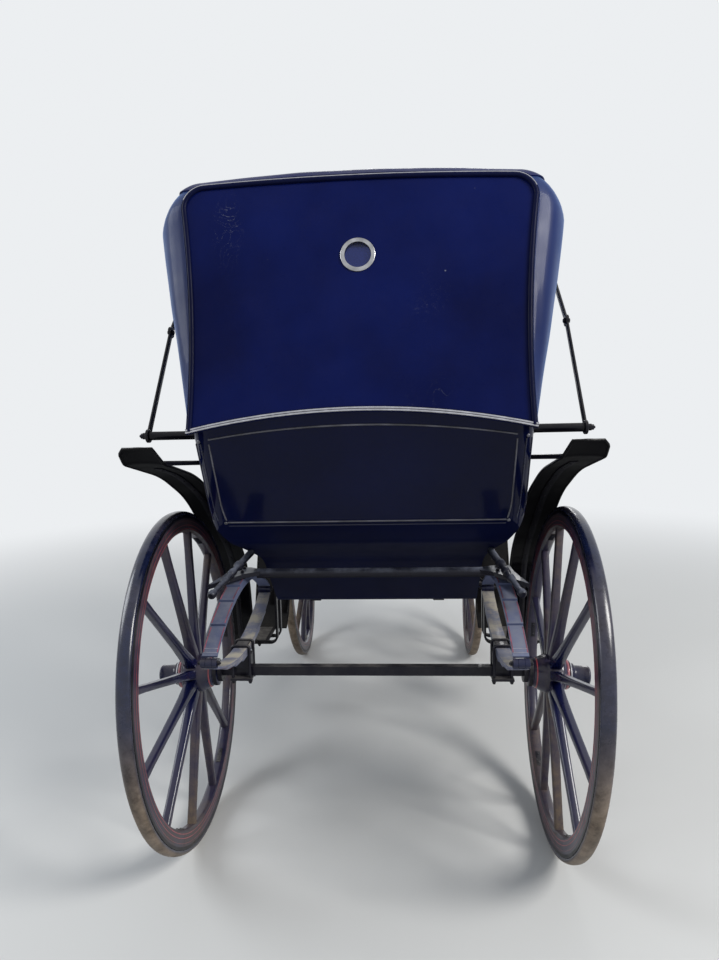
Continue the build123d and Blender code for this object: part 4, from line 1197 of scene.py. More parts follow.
panel_up, panel_out = (window_frame_matrix().to_3x3().col[column].normalized() for column in (1, 2))
seam = hood_outline(HOOD_ROWS[0])
panel_middle = slope_point(HOOD_ROWS[0], 0, 0.5)
roll = [point + panel_out * 0.0025 for point in moved(seam, -0.0075, panel_middle)]
bars("seam_roll", [roll], 0.0072, piping_hide, "carriage_body", "patent_leather", sides=14)
fine = [point + panel_out * 0.0030 for point in moved(seam, 0.0012, panel_middle)]
sides = [fine[:SIDE_STEPS + 4], fine[-SIDE_STEPS - 4:]]
bars("seam_bead", sides, 0.0014, side_patent, "carriage_body", "patent_leather", sides=8)
upper = seam[SIDE_STEPS + 3:len(seam) - SIDE_STEPS - 3]
moulding = [point + panel_out * 0.0015 for point in moved(upper, 0.0005, panel_middle)]
half_turn = [math.pi * step / 8 for step in range(9)]
half_round = [(0.0050 * math.sin(turn), 0.0052 * math.cos(turn)) for turn in half_turn]
shape = carried(moulding, half_round, up=panel_out)
piece("roof_bead", *shape, bead_metal, "carriage_body", "window_nickel", 40, 1e-7)
front = hood_outline(HOOD_ROWS[4], 2.0)
bars("front_binding", [front], 0.0068, piping_hide, "carriage_body", "patent_leather", sides=14)
strip_rows = [[point + (point - Vector((0, point.y, DENT_CENTRE))).normalized() * 0.0066
               for point in row[SIDE_STEPS + 7:len(seam) - SIDE_STEPS - 7]] for row in hood_skin()[:9]]
flap, flap_area = skin_piece("roof_strip", [grid(strip_rows)], [hood_patent], 0.004)
flap = finished_skin(flap)

rail_line = [rail_point(RAIL_FLAT * step / 48) + panel_out * 0.0035 for step in range(-48, 49)]
band_line = [point - panel_up * 0.001 for point in rail_line]
band = carried(band_line, rounded(0.0022, 0.0085, 0.0015), up=panel_up)
piece("rail_band", *band, piping_hide, "carriage_body", "patent_leather", 40, 1e-7)
twin = [[point + panel_up * lift + panel_out * 0.0020 for point in rail_line] for lift in (-0.0036, 0.0028)]
bars("rail_beads", twin, 0.0030, bead_metal, "carriage_body", "window_nickel")
print("beads and piping done")

# %% [markdown]
# ## Springs made of leaves
#
# Each elliptic spring is two stacks of curved steel leaves that get shorter away from the
# middle. Every leaf is its own strip of steel, so its square end shows as a step. Red lines
# run along both edges of each leaf's bare part. The ends meet in a rolled eye with a bolt.

# %% Sizes of the springs, in millimetres
SPRINGS = {
    "rear": {"x": 430.0, "y": 0.0, "base": 620.142, "pad": 43.0, "rises": (75.0, 110.0),
             "reaches": (385.0, 282.0, 178.0, 88.0), "body": "carriage_body"},
    "front": {"x": 330.0, "y": 1720.0, "base": 465.329, "pad": 8.0, "rises": (95.0, 95.0),
              "reaches": (355.0, 275.0, 195.0, 115.0), "body": "fore_carriage"},
}
LEAF, LEAF_HALF, EYE_RADIUS, LINE_INSET, LINE_TOP = 7.0, 22.5, 14.0, 2.8, 6.95
CLIP_LEG, CLIP_WAY = 28.5, 30.0


def eye_height(spec):
    """Height of the bolts that join the two halves."""
    return spec["base"] + LEAF * len(spec["reaches"]) + spec["rises"][0] + EYE_RADIUS * 0.8


def arc_radius(spec, upper):
    """Radius of the main leaf of the lower or the upper half."""
    rise = spec["rises"][upper]
    return (spec["reaches"][0] ** 2 + rise ** 2) / (2 * rise)


def leaf_arc(spec, x, radius, start, end, upper, steps):
    """Points along one leaf, at a radius from the spring's arc centre and between two turns."""
    arc, way = arc_radius(spec, upper), 1 if upper else -1
    main = eye_height(spec) + way * (spec["rises"][upper] + EYE_RADIUS * 0.8)
    points = []
    for step in range(steps + 1):
        turn = start + (end - start) * step / steps
        z = main + way * ((arc + radius) * math.cos(turn) - arc)
        points.append(mm(x, spec["y"] + (arc + radius) * math.sin(turn), z))
    return points


def leaf_turn(spec, index, upper, less=0.0):
    """Half the angle that a leaf spans."""
    return math.asin((spec["reaches"][index] - less) / (arc_radius(spec, upper) + LEAF * index))


# %% [markdown]
# A leaf is a strip carried along its arc. The painted lines are thin films on its upper side,
# and the eyes at both ends are turned shapes with a nut on each side.


# %% Leaves, lines and eyes
def spring_shapes(spec):
    """The leaves of both springs' lower and upper halves, and the lines along and across them."""
    leaves, stripes, crossings = ([], []), [], []
    steel = rounded(LEAF_HALF / 1000, 0.0033, 0.0013)
    paint = rounded(0.0013, 0.0003, 0.0001, 1)
    last = len(spec["reaches"]) - 1
    for x in (-spec["x"], spec["x"]):
        edges = (x - LEAF_HALF + LINE_INSET, x + LEAF_HALF - LINE_INSET)
        for upper in (False, True):
            for index in range(last + 1):
                turn = leaf_turn(spec, index, upper, 0.0 if index else 3.0)
                leaves[upper].append(carried(leaf_arc(
                    spec, x, LEAF * index + LEAF / 2, -turn, turn, upper, 36), steel))
                inner = 0.0 if index == last else leaf_turn(spec, index + 1, upper, -5.0)
                outer = leaf_turn(spec, index, upper, 5.0 if index else 14.0)
                stripes += [carried(leaf_arc(
                    spec, edge, LEAF * index + LINE_TOP, way * inner, way * outer, upper, 12), paint)
                    for edge in edges for way in (-1, 1)]
            for turn in (way * leaf_turn(spec, 0, upper, less) for way in (-1, 1) for less in (14.0, 26.0)):
                crossings.append(carried([leaf_arc(spec, edge, LINE_TOP, turn, turn, upper, 1)[0]
                                          for edge in edges], paint))
    return merged(leaves[0]), merged(leaves[1]), merged(stripes), merged(crossings)


EYE_PROFILE = both_walls([(0.0230, 0.004), (0.0230, 0.0128), (0.0222, 0.0137), (0.0098, 0.0137),
                          (0.0092, 0.0128), (0.0086, 0.0137)])

slate = {"colour": (0.115, 0.135, 0.235), "deep": (0.062, 0.076, 0.145), "rough": 0.42, "coat": 0.15,
         "specular": 0.3}
upper_slate = varnished("upper_slate", **slate, dust=0.7, ground=0.6, dust_and_sky_tint=(0.23, 0.23, 0.24))
lower_slate = varnished("lower_slate", **slate, dust=1.25, ground=1.2, dust_and_sky_tint=(0.40, 0.365, 0.30))
for end, spec in SPRINGS.items():
    lower, upper, stripes, crossings = spring_shapes(spec)
    for half, shape, finish in (("lower", lower, lower_slate), ("upper", upper, upper_slate)):
        made = piece(f"{end}_{half}_leaves", *shape, finish, spec["body"], "black_iron", 30, 1e-7)
        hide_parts(f"{end}_springs")
    piece(f"{end}_spring_lines", *stripes, spring_line, spec["body"], "black_iron", 30, 1e-7)
    piece(f"{end}_spring_crossings", *crossings, pale_line, spec["body"], "black_iron", 30, 1e-7)
    eyes, bolts = [], []
    for side in (-1, 1):
        for way in (-1, 1):
            centre = mm(side * spec["x"], spec["y"] + way * (spec["reaches"][0] + 4), eye_height(spec))
            eyes.append(turned(EYE_PROFILE, 28, Matrix.Translation(centre)))
            for face in (-1, 1):
                bolts.append((centre + Vector((face * 0.0228, 0, 0)), (face, 0, 0), 0.78))
    piece(f"{end}_spring_eyes", *merged(eyes), navy_paint, spec["body"], "black_iron", 30, 1e-7)
    fasteners(f"{end}_spring_eye_bolts", bolts, hex_nut, dusty_iron, spec["body"])

# %% [markdown]
# Two round U-bolts clamp each lower stack to its axle pad, with a saddle on the leaves and a
# plate and nuts under the axle.


# %% U-bolts, saddles, plates and nuts
def clip_shapes(spec):
    """The U-bolts' paths, the plates and saddles, and the nuts of one axle."""
    paths, plates, nuts = [], [], []
    base, under = spec["base"], spec["base"] - spec["pad"]
    low, high = under - 50.0, base + 34.2
    for x in (-spec["x"], spec["x"]):
        left, right = x - CLIP_LEG, x + CLIP_LEG
        flat = filleted([(left, low), (left, high), (right, high), (right, low)], [9.0, 9.0], 6)
        for y in (spec["y"] - CLIP_WAY, spec["y"] + CLIP_WAY):
            paths.append([mm(point.x, y, point.y) for point in flat])
            nuts += [(mm(leg, y, under - 38.3), (0, 0, -1), 0.82) for leg in (left, right)]
        for half_x, half_y, height, thick in (
                (36.0, 41.5, under - 34.3, 4.0), (20.5, 23.0, base + 30.9, 2.6)):
            ends = [mm(x, spec["y"] - half_y, height), mm(x, spec["y"] + half_y, height)]
            plates.append(carried(ends, rounded(half_x / 1000, thick / 1000, 0.0018)))
    return paths, merged(plates), nuts


for end, spec in SPRINGS.items():
    paths, plates, nuts = clip_shapes(spec)
    clips = bars(f"{end}_u_bolts", paths, 0.005, dusty_iron, spec["body"], "black_iron", sides=14)
    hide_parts(f"{end}_spring_clips")
    piece(f"{end}_clip_plates", *plates, dusty_iron, spec["body"], "black_iron", 30, 1e-7)
    fasteners(f"{end}_clip_nuts", nuts, hex_nut, dusty_iron, spec["body"])
print("springs done")

# %% [markdown]
# ## Wings and steps
#
# A wing is patent leather sewn over an iron frame, so its sheet is slightly crowned and a round
# rod shows all along its edge. The rear wing's raised end has both corners cut back. Under each
# wing a flat rib is riveted. The steps are ribbed iron plates.

# %% Crowned sheets with a rolled edge
WINGS = {
    "rear_wing": {"path": [(-385.0, 1336.0), (-343.0, 1290.0), (-60.0, 1228.0), (178.0, 1128.0),
                           (610.0, 800.0), (672.0, 440.0), (745.0, 394.0)],
                  "radii": [40.0, 900.0, 700.0, 420.0, 60.0], "inner": 545.0, "outer": 658.0,
                  "fold": 1290.0, "top": 1336.0, "slant": 17.0, "clip": 15.0},
    "front_wing": {"path": [(945.0, 394.0), (1030.0, 452.0), (1175.0, 810.0), (1420.0, 985.0),
                            (1800.0, 1012.0), (2080.0, 950.0)],
                   "radii": [110.0, 420.0, 260.0, 600.0], "inner": 452.0, "outer": 612.0},
}
SHEET_HALF, EDGE_ROD, WING_CROWN, WING_COLUMNS = 0.0020, 0.0044, 0.0045, 8
ABOVE, BELOW = WING_COLUMNS // 2, -1 - WING_COLUMNS // 2


def wing_edges(spec, z, at_tip):
    """Inner and outer edge of a wing at one station, narrower over the fold of its raised end."""
    if "fold" not in spec or not at_tip:
        return spec["inner"], spec["outer"]
    over = max(0.0, z - spec["fold"])
    return (spec["inner"] + spec["slant"] * over / (spec["top"] - spec["fold"]),
            spec["outer"] - max(0.0, z - (spec["top"] - spec["clip"])))


def wing_rows(spec):
    """Rings of the sheet, and the loop that its edge rod follows."""
    path = spaced(filleted(spec["path"], spec["radii"], 8), 9.0)
    rings, inner_edge, outer_edge = [], [], []
    for index, point in enumerate(path):
        along = (path[min(index + 1, len(path) - 1)] - path[max(index - 1, 0)]).normalized()
        normal = Vector((0, -along.y, along.x))
        normal = -normal if normal.z < 0 else normal
        inner, outer = wing_edges(spec, point.y, index < len(path) // 2)
        upper, lower = [], []
        for column in range(WING_COLUMNS + 1):
            v = column / WING_COLUMNS
            place = mm(inner * (1 - v) + outer * v, point.x, point.y)
            crown = WING_CROWN * (1 - (2 * v - 1) ** 2)
            upper.append(place + normal * (crown + SHEET_HALF))
            lower.append(place + normal * (crown - SHEET_HALF))
        rings.append(upper + lower[::-1])
        inner_edge.append(mm(inner, point.x, point.y))
        outer_edge.append(mm(outer, point.x, point.y))
    return rings, inner_edge + outer_edge[::-1]


def edged_sheet(name, ending, rings, loop, rod=EDGE_ROD):
    """A sheet of patent leather in place of a node, with a round rod all along its edge."""
    where = (wing_patent, "carriage_body", "patent_leather")
    sheet = piece(f"{name}_sheet{ending}", *tube(rings), *where, 38, 1e-7)
    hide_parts(name + ending)
    bars(f"{name}_edge{ending}", [loop], rod, *where, closed=True, sides=12)


for name, spec in WINGS.items():
    rings, loop = wing_rows(spec)
    for side in ("right", "left"):
        rows, edge = (rings, loop) if side == "right" else ([flipped(ring) for ring in rings], flipped(loop))
        edged_sheet(name, f"_{side}", rows, edge)
        first, half = len(rows) // 8, len(rows) // 2
        path = [row[BELOW] for row in rows[first:len(rows) - 3]]
        beneath = (rows[half][BELOW] - rows[half][ABOVE]).normalized()
        rib = carried([point + beneath * 0.0016 for point in path], rounded(0.011, 0.0016, 0.0006))
        rivets = []
        for row in rows[first + 4:len(rows) - 7:14]:
            outward = (row[BELOW] - row[ABOVE]).normalized()
            rivets += [(row[BELOW] + outward * 0.003, outward, 0.55), (row[ABOVE], -outward, 0.45)]
        piece(f"{name}_rib_{side}", *rib, black_enamel, "carriage_body", "black_iron", 30, 1e-7)
        fasteners(f"{name}_rivets_{side}", rivets, dome_stud, black_enamel, "carriage_body")

# %% [markdown]
# A step is a thick iron plate. Small ribs across it keep a wet boot from slipping, and four
# bolts hold it to its irons from below.

# %% Step plates with ribs
step_rib = pattern("step_rib", *carried(
    [Vector((-0.090, 0, 0)), Vector((0.090, 0, 0))], rounded(0.0022, 0.0016, 0.0010)))
for side, sign in (("right", 1), ("left", -1)):
    plate = carried([mm(sign * 603, 746, 394), mm(sign * 603, 944, 394)], rounded(0.103, 0.006, 0.003, 3))
    plate = piece(f"step_plate_{side}", *plate, black_enamel, "carriage_body", "black_iron", 35, 1e-7)
    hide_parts(f"step_{side}")
    ribs = [(mm(sign * 603, 761 + 14 * index, 400.4), (0, 0, 1), 1.0) for index in range(13)]
    fasteners(f"step_ribs_{side}", ribs, step_rib, worn_steel, "carriage_body")
    under = [(mm(sign * x, y, 374.0), (0, 0, -1), 0.75) for x in (545, 660) for y in (775, 862)]
    fasteners(f"step_bolts_{side}", under, hex_nut, dusty_iron, "carriage_body")
print("wings and steps done")

# %% [markdown]
# ## Mouldings and studs of the tub
#
# The panel is framed by thin half-round mouldings, most of them a grey lighter than the navy,
# a painted highlight along the beads. A navy bead under the foot moulding is a painted shadow.
# Their lines are thrown onto the tub's own surface from behind, so they follow its rounded corners.

# %% Lines laid on the tub
tub_node = nodes["body_tub"]
tub_surface = BVHTree.FromPolygons([tub_node.matrix_world @ vertex.co for vertex in tub_node.data.vertices],
                                   [tuple(face.vertices) for face in tub_node.data.polygons])


def on_tub(x, z):
    """Where a line from far behind meets the tub, and the surface's normal there."""
    return tub_surface.ray_cast(mm(x, -900, z), Vector((0, 1, 0)))[:2]


def laid(spots):
    """The places on the tub of (x, z) spots, without those that miss it."""
    return [place for place, normal in (on_tub(x, z) for x, z in spots) if place is not None]


def tub_half(z):
    """Half-width of the tub at a height."""
    bend = (48.0 ** 2 + 155.0 ** 2) / 96.0
    if z >= 1160:
        return 492.0
    if z > 1005:
        return 492.0 - bend + math.sqrt(bend ** 2 - (1160 - z) ** 2)
    return 396.0 + bend - math.sqrt(bend ** 2 - (max(z, 850.0) - 850) ** 2)


CORNER_ROUND, PANEL_TURN, PANEL_TOP, PANEL_FOOT = 62.0, 8, 1338, 1086


def corner_inset(turn):
    """How far in from the tub's side a line lies at a turn of its rounded corner."""
    return CORNER_ROUND * (1 - math.sin(math.radians(turn)))


panel_edges, pillar_lines = [], []
for side in (-1, 1):
    for turn, lines in ((PANEL_TURN, panel_edges), (35, pillar_lines), (62, pillar_lines)):
        lines.append(laid((side * (tub_half(z) - corner_inset(turn)), z)
                          for z in range(PANEL_TOP, PANEL_FOOT, -7)))
foot_reach = int(tub_half(PANEL_FOOT) - corner_inset(PANEL_TURN))
curved = laid((x, rail_height(x) - 44 + 9 * (x / 438.6) ** 2) for x in range(-438, 439, 12))
foot_line, foot_shade = (laid((x, height) for x in range(-foot_reach, foot_reach + 1, 9))
                         for height in (PANEL_FOOT, PANEL_FOOT - 13))
# The grey beads carry a painted highlight; the navy foot_shade bead is a painted shadow.
for name, paths, radius, finish in (
        ("panel_edges", panel_edges, 0.0024, dull_bead),
        ("pillar_mouldings", pillar_lines, 0.0026, navy_paint),
        ("panel_top_moulding", [curved], 0.0030, dull_bead),
        ("panel_foot_moulding", [foot_line], 0.0030, dull_bead),
        ("panel_foot_shade", [foot_shade], 0.0026, navy_paint)):
    bars(name, paths, radius, finish, "carriage_body", "navy_lacquer")
studs = [(*on_tub(side * x, z), 0.75) for side in (-1, 1)
         for x, z in ((470, 1345), (foot_reach + 6, PANEL_FOOT - 2))]
fasteners("tub_studs", studs, dome_stud, dull_bead, "carriage_body")
print("tub mouldings:", len(panel_edges + pillar_lines), "points:", len(curved), len(foot_line))

# %% [markdown]
# ## Cushions blown up by cloth simulation
#
# A carriage cushion is a leather case stuffed with horsehair, with piping round its top and
# bottom edges and buttons that hold the hair in place. A slightly smaller block gets an even
# skin from a voxel remesh. Air pressure in the cloth simulation then swells it, while the
# seams and the buttons are pinned, so it crowns between them. Each point may move only so far.


# %% Swell a cushion between its seams and buttons
def soft_block(name, x, y, z, edge, finish):
    """A block between ranges in millimetres, with rounded edges."""
    points = [mm(a, b, c) for c in z for b in y for a in x]
    faces = [[0, 2, 3, 1], [4, 5, 7, 6], [0, 1, 5, 4], [2, 6, 7, 3], [0, 4, 6, 2], [1, 3, 7, 5]]
    made = piece(name, points, faces, finish, None, None)
    bevel = made.modifiers.new("edges", "BEVEL")
    bevel.width, bevel.segments, bevel.limit_method = edge, 4, "NONE"
    return baked(made)


def swollen(made, pins, voxel, cap, pressure=4.0, frames=20):
    """The closed mesh remeshed and blown up by air, held at pins and capped in its moves."""
    even = made.modifiers.new("even", "REMESH")
    even.mode, even.voxel_size = "VOXEL", voxel
    made = baked(made)
    start = [vertex.co.copy() for vertex in made.data.vertices]
    held = made.vertex_groups.new(name="held")
    for index, point in enumerate(start):
        weight = pins(point)
        if weight > 0:
            held.add([index], weight, "REPLACE")
    cloth = made.modifiers.new("air", "CLOTH")
    cloth.settings.quality = 5
    cloth.settings.use_pressure = True
    cloth.settings.uniform_pressure_force = pressure
    cloth.settings.effector_weights.gravity = 0
    cloth.settings.vertex_group_mass = "held"
    cloth.collision_settings.use_self_collision = False
    for step in range(1, frames + 1):
        scene.frame_set(step)
    graph = bpy.context.evaluated_depsgraph_get()
    blown = [vertex.co.copy() for vertex in made.evaluated_get(graph).data.vertices]
    made.modifiers.clear()
    scene.frame_set(1)
    for vertex, before, after in zip(made.data.vertices, start, blown):
        move = after - before
        if move.length > cap:
            move = move.normalized() * cap
        vertex.co = before + move
    return made


# %% [markdown]
# The seams run round a cushion, one above its foot and one below its crown. Piping follows
# them on the swollen skin, and a button sits in each pinned dimple.

# %% The two cushions
SEAM_OVER_FOOT, SEAM_UNDER_TOP, SWELL_ROOM, DIMPLE = 17.0, 26.0, 15.0, 0.009


def cushion_with_piping(name, node, half, y, z, buttons):
    """A buttoned cushion with piping round both edges, in place of a plain solid."""
    seams = (z[0] + SEAM_OVER_FOOT, z[1] - SEAM_UNDER_TOP)
    top = z[1] - SWELL_ROOM
    spots = [mm(x, b, 0) for x, b in buttons]

    def pins(point):
        near_seam = min(abs(point.z * 1000 - seam) for seam in seams) < 4.0
        at_side = (abs(abs(point.x) * 1000 - (half - 5)) < 9
                   or min(abs(point.y - mm(0, edge, 0).y) for edge in y) * 1000 < 14)
        if near_seam and at_side:
            return 1.0
        if point.z * 1000 < z[0] + 6:
            return 0.9
        near_button = min((point.xy - spot.xy).length for spot in spots) < DIMPLE
        return 1.0 if near_button and point.z * 1000 > top - 8 else 0.0

    made = soft_block(name, (5 - half, half - 5), (y[0] + 5, y[1] - 5), (z[0] + 2, top), 0.017, seat_hide)
    made = swollen(made, pins, 0.0075, 0.012)
    smooth = made.modifiers.new("smooth", "SUBSURF")
    smooth.levels = smooth.render_levels = 1
    made = baked(made)
    tidy(made, 60)
    settle(made, "carriage_body")
    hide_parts(node)
    skin = BVHTree.FromPolygons([vertex.co for vertex in made.data.vertices],
                                [tuple(face.vertices) for face in made.data.polygons])
    middle = (y[0] + y[1]) / 2
    corners = [Vector((a, middle + b)) for a, b in rounded(half - 4, (y[1] - y[0]) / 2 - 4, 28, 6)]
    path = spaced(corners + corners[:1], 14.0)[:-1]
    loops = [[skin.find_nearest(mm(point.x, point.y, seam))[0] for point in path] for seam in seams]
    bars(f"{name}_piping", loops, 0.0042, piping_hide, "carriage_body", "seat_leather", closed=True)
    heads = []
    for spot in spots:
        place, normal = skin.ray_cast(Vector((spot.x, spot.y, z[1] / 1000 + 0.1)), Vector((0, 0, -1)))[:2]
        heads.append((place - normal * 0.001, normal, 1.1))
    fasteners(f"{name}_buttons", heads, dome_stud, piping_hide, "carriage_body")
    print(name, "faces:", len(made.data.polygons))


def button_rows(lines, reach, step):
    """The (x, y) of buttons in rows, each row half a step on from the one before."""
    return [(x, y) for row, y in enumerate(lines)
            for x in range(row % 2 * step // 2 - reach, reach + 1, step)]


cushion_with_piping("seat_pad", "seat_cushion", 425.0, (-10.0, 550.0), (1022.0, 1127.0),
                    button_rows((110, 230, 350, 470), 340, 136))
cushion_with_piping("box_pad", "box_cushion", 400.0, (1180.0, 1674.0), (1258.0, 1353.0),
                    button_rows((1270, 1385, 1500, 1600), 320, 128))

# %% [markdown]
# ## Tufted squabs
#
# The padded back and arms are deep buttoned: leather is folded into diamonds, and each corner
# is pulled in by a button. The height over a diamond is the root of two crossed sine waves,
# which gives round pillows and sharp folds. The pad tapers to its edges, so it is a closed,
# crowned form.

# %% Diamonds of leather
DIAMOND_WIDE, DIAMOND_HIGH, SUNK = 118.0, 104.0, 0.56
BACK_LEAN = math.radians(28)


def tuft(a, b):
    """Height over the diamonds, 0 at a button and 1 on a pillow's crown."""
    u, v = a / DIAMOND_WIDE + b / DIAMOND_HIGH, a / DIAMOND_WIDE - b / DIAMOND_HIGH
    return (abs(math.sin(math.pi * u)) * abs(math.sin(math.pi * v))) ** 0.42


def squab(name, node, spot, deep, wide, columns, lines):
    """A tufted pad over a patch: spot gives the wall's point, its inward direction and a, b."""
    def rim(s, t):
        return (1 - abs(2 * s - 1) ** wide) ** 0.5 * (1 - abs(2 * t - 1) ** 7) ** 0.5

    front, back, heads = [], [], []
    for row in range(lines + 1):
        t = row / lines
        front.append([])
        back.append([])
        for column in range(columns + 1):
            s = column / columns
            point, inward, a, b = spot(s, t)
            height = deep * rim(s, t) * (SUNK + (1 - SUNK) * tuft(a, b))
            front[-1].append(point + inward * (0.004 + height))
            back[-1].append(point + inward * 0.003)
    points, faces = merged([grid(front), grid(back, flip=True)])
    width, other = columns + 1, (lines + 1) * (columns + 1)
    edge = [column for column in range(columns)] + [row * width + columns for row in range(lines)]
    edge += [lines * width + column for column in range(columns, 0, -1)]
    edge += [row * width for row in range(lines, 0, -1)]
    for first, second in zip(edge, edge[1:] + edge[:1]):
        faces.append([first, second, second + other, first + other])
    made = piece(name, points, faces, seat_hide, "carriage_body", "seat_leather", 60, 1e-5)
    if node:
        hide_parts(node)
    for m in range(-16, 17):
        for n in range(-16, 17):
            found = button_place(spot, DIAMOND_WIDE * (m + n) / 2, DIAMOND_HIGH * (m - n) / 2)
            if found and 0.03 < found[0] < 0.97 and 0.08 < found[1] < 0.92:
                point, inward = spot(*found)[:2]
                heads.append((point + inward * (0.003 + deep * rim(*found) * SUNK), inward, 1.2))
    fasteners(f"{name}_buttons", heads, dome_stud, piping_hide, "carriage_body")
    print(name, "buttons:", len(heads))


def button_place(spot, a, b):
    """The (s, t) of a patch where its coordinates are a, b, or None outside the patch."""
    s, t, step = 0.5, 0.5, 0.01
    for turn in range(12):
        here_a, here_b = spot(s, t)[2:]
        over_a, over_b = a - here_a, b - here_b
        side_a, side_b = spot(min(1, s + step), t)[2:]
        up_a, up_b = spot(s, min(1, t + step))[2:]
        aa, ba = (side_a - here_a) / step, (side_b - here_b) / step
        ab, bb = (up_a - here_a) / step, (up_b - here_b) / step
        size = aa * bb - ab * ba
        if abs(size) < 1e-9:
            return None
        s += (over_a * bb - over_b * ab) / size
        t += (aa * over_b - ba * over_a) / size
        if not (-0.3 < s < 1.3 and -0.3 < t < 1.3):
            return None
        s, t = min(max(s, 0.0), 0.985), min(max(t, 0.0), 0.985)
    here_a, here_b = spot(s, t)[2:]
    return (s, t) if abs(here_a - a) + abs(here_b - b) < 1.0 else None


# %% [markdown]
# The back pad lies on the tub's leaning back, and an arm pad on the inside of each curved side.
# For each wall a function gives a place on it, from a share across and a share up.


# %% The back and arm pads
def back_line(z):
    """Place along Y of the tub's leaning back at a height, in millimetres."""
    return -128.0 - math.tan(BACK_LEAN) * (z - 1085.0)


def back_spot(s, t):
    """A place on the inside of the tub's back."""
    x, z = -438 + 876 * s, 1131 + 240 * t
    return mm(x, back_line(z) + 23, z), Vector((0, 1, 0)), x, (z - 1251) / math.cos(BACK_LEAN)


squab("back_pad", "back_squab", back_spot, 0.076, 26, 146, 44)
ARM_TOP = [(-158.0, 1344.0), (328.0, 1314.0), (428.0, 1190.0)]


def arm_spot(s, t, sign):
    """A place on the inside of one arm, between its lower line and its sloping top."""
    low = Vector((-42 + 470 * s, 1131.0))
    first = 487.0 / (487.0 + 160.0)
    if s < first:
        high = Vector(ARM_TOP[0]).lerp(Vector(ARM_TOP[1]), s / first)
    else:
        high = Vector(ARM_TOP[1]).lerp(Vector(ARM_TOP[2]), (s - first) / (1 - first))
    place = low.lerp(high, t)
    wall = (tub_half(place.y) - 22.0) * sign
    return mm(wall, place.x, place.y), Vector((-sign, 0, 0)), place.x, place.y - 1240


squab("arm_pad_right", "arm_squabs", lambda s, t: arm_spot(s, t, 1), 0.033, 12, 92, 36)
squab("arm_pad_left", None, lambda s, t: arm_spot(s, t, -1), 0.033, 12, 92, 36)

# %% [markdown]
# ## The dash, the mat and painted lines
#
# The dash is patent leather on an iron frame like the wings, so the same sheet maker is used
# on its curved side view. A rubber mat lies on the tub's floor, and mouldings frame the boot.

# %% Dash, mat and mouldings in front
dash_spec = {"path": [(2168.0, 1034.0), (2200.0, 1190.0), (2185.0, 1470.0)], "radii": [300.0],
             "inner": -415.0, "outer": 415.0}
edged_sheet("dash", "", *wing_rows(dash_spec), 0.0052)
dash_line = spaced(filleted(dash_spec["path"], [300.0], 8), 20.0)
ribs = [carried([mm(x, point.x - 5.0, point.y) for point in dash_line], rounded(0.010, 0.0018, 0.0006),
                up=Vector((0, 1, 0))) for x in (-250.0, 250.0)]
piece("dash_ribs", *merged(ribs), black_enamel, "carriage_body", "black_iron", 30, 1e-7)
mat = carried([mm(0, 520, 677), mm(0, 900, 677)], rounded(0.340, 0.0028, 0.0014))
piece("floor_mat", *mat, floor_mat, "carriage_body", "navy_lacquer", 30, 1e-7)
print("dash ribs:", len(ribs))


def frame_loop(left, right, low=955, high=1208):
    """A closed loop with rounded corners, between a left and a right side."""
    start = ((left + right) / 2, low)
    corners = [(right, low), (right, high), (left, high), (left, low)]
    return filleted([start, *corners, start], [18.0] * 4, 5)[:-1]


frames = [[mm(x, point.x, point.y) for point in frame_loop(1200, 1620)] for x in (-300.4, 300.4)]
frames += [[mm(point.x, y, point.y) for point in frame_loop(-255, 255)] for y in (1159.6, 1660.4)]
# The boot's mouldings use the same grey bead, a painted highlight.
bars("boot_mouldings", frames, 0.0032, dull_bead, "carriage_body", "navy_lacquer", closed=True)
deck_line = spaced(filleted([(1091.0, 923.0), (1990.0, 923.0), (2165.0, 1035.0)], [90.0], 8), 30.0)
edges = [[mm(x, point.x, point.y - 9.0) for point in deck_line] for x in (-352.5, 352.5)]
bars("deck_beads", edges, 0.0045, navy_paint, "carriage_body", "navy_lacquer")

# %% [markdown]
# ## Hood irons and shaft fittings
#
# The joint irons are forged flat bars with round bosses at the eye and the knuckle. Nuts hold
# their ends, and more nuts show where the body's boards are bolted down.


# %% Forged bars and turned bosses
def facing_matrix(place, axis):
    """A frame at a place whose X points along an axis."""
    x = Vector(axis).normalized()
    helper = Vector((0, 0, 1)) if abs(x.z) < 0.9 else Vector((0, 1, 0))
    y = helper.cross(x).normalized()
    return placed_frame(x, y, x.cross(y), place)


def boss(radius, half, edge=0.0012, hole=0.002):
    """Profile of a short round boss with eased edges."""
    return both_walls([(half, hole), (half, radius - edge), (half - edge, radius)])


iron_shapes = []
for side in (-1, 1):
    foot, knuckle, top = [mm(side * 648, y, z) for y, z in ((-170, 1361), (88, 1693), (300, 1868))]
    for a, b in ((foot, knuckle), (knuckle, top)):
        path = [a.lerp(b, step / 12) for step in range(13)]
        iron_shapes.append(carried(path, rounded(0.0108, 0.0044, 0.0034, 4), up=Vector((1, 0, 0))))
    for place, radius, half in ((foot, 0.0205, 0.0048), (knuckle, 0.0188, 0.0052), (top, 0.0120, 0.0050)):
        iron_shapes.append(turned(boss(radius, half), 28, facing_matrix(place, (1, 0, 0))))
    iron_shapes.append(turned(boss(0.0085, 0.0110, 0.0025), 20, facing_matrix(knuckle, (1, 0, 0))))
    inner = mm(side * 590, 300, 1868)
    iron_shapes.append(carried([top, top.lerp(inner, 0.5), inner], [
        (0.0088 * math.cos(turn), 0.0088 * math.sin(turn)) for turn in turns(16)]))
irons = piece("joint_irons", *merged(iron_shapes), black_enamel, "carriage_body", "black_iron", 30, 1e-7)
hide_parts("hood_joint_irons")

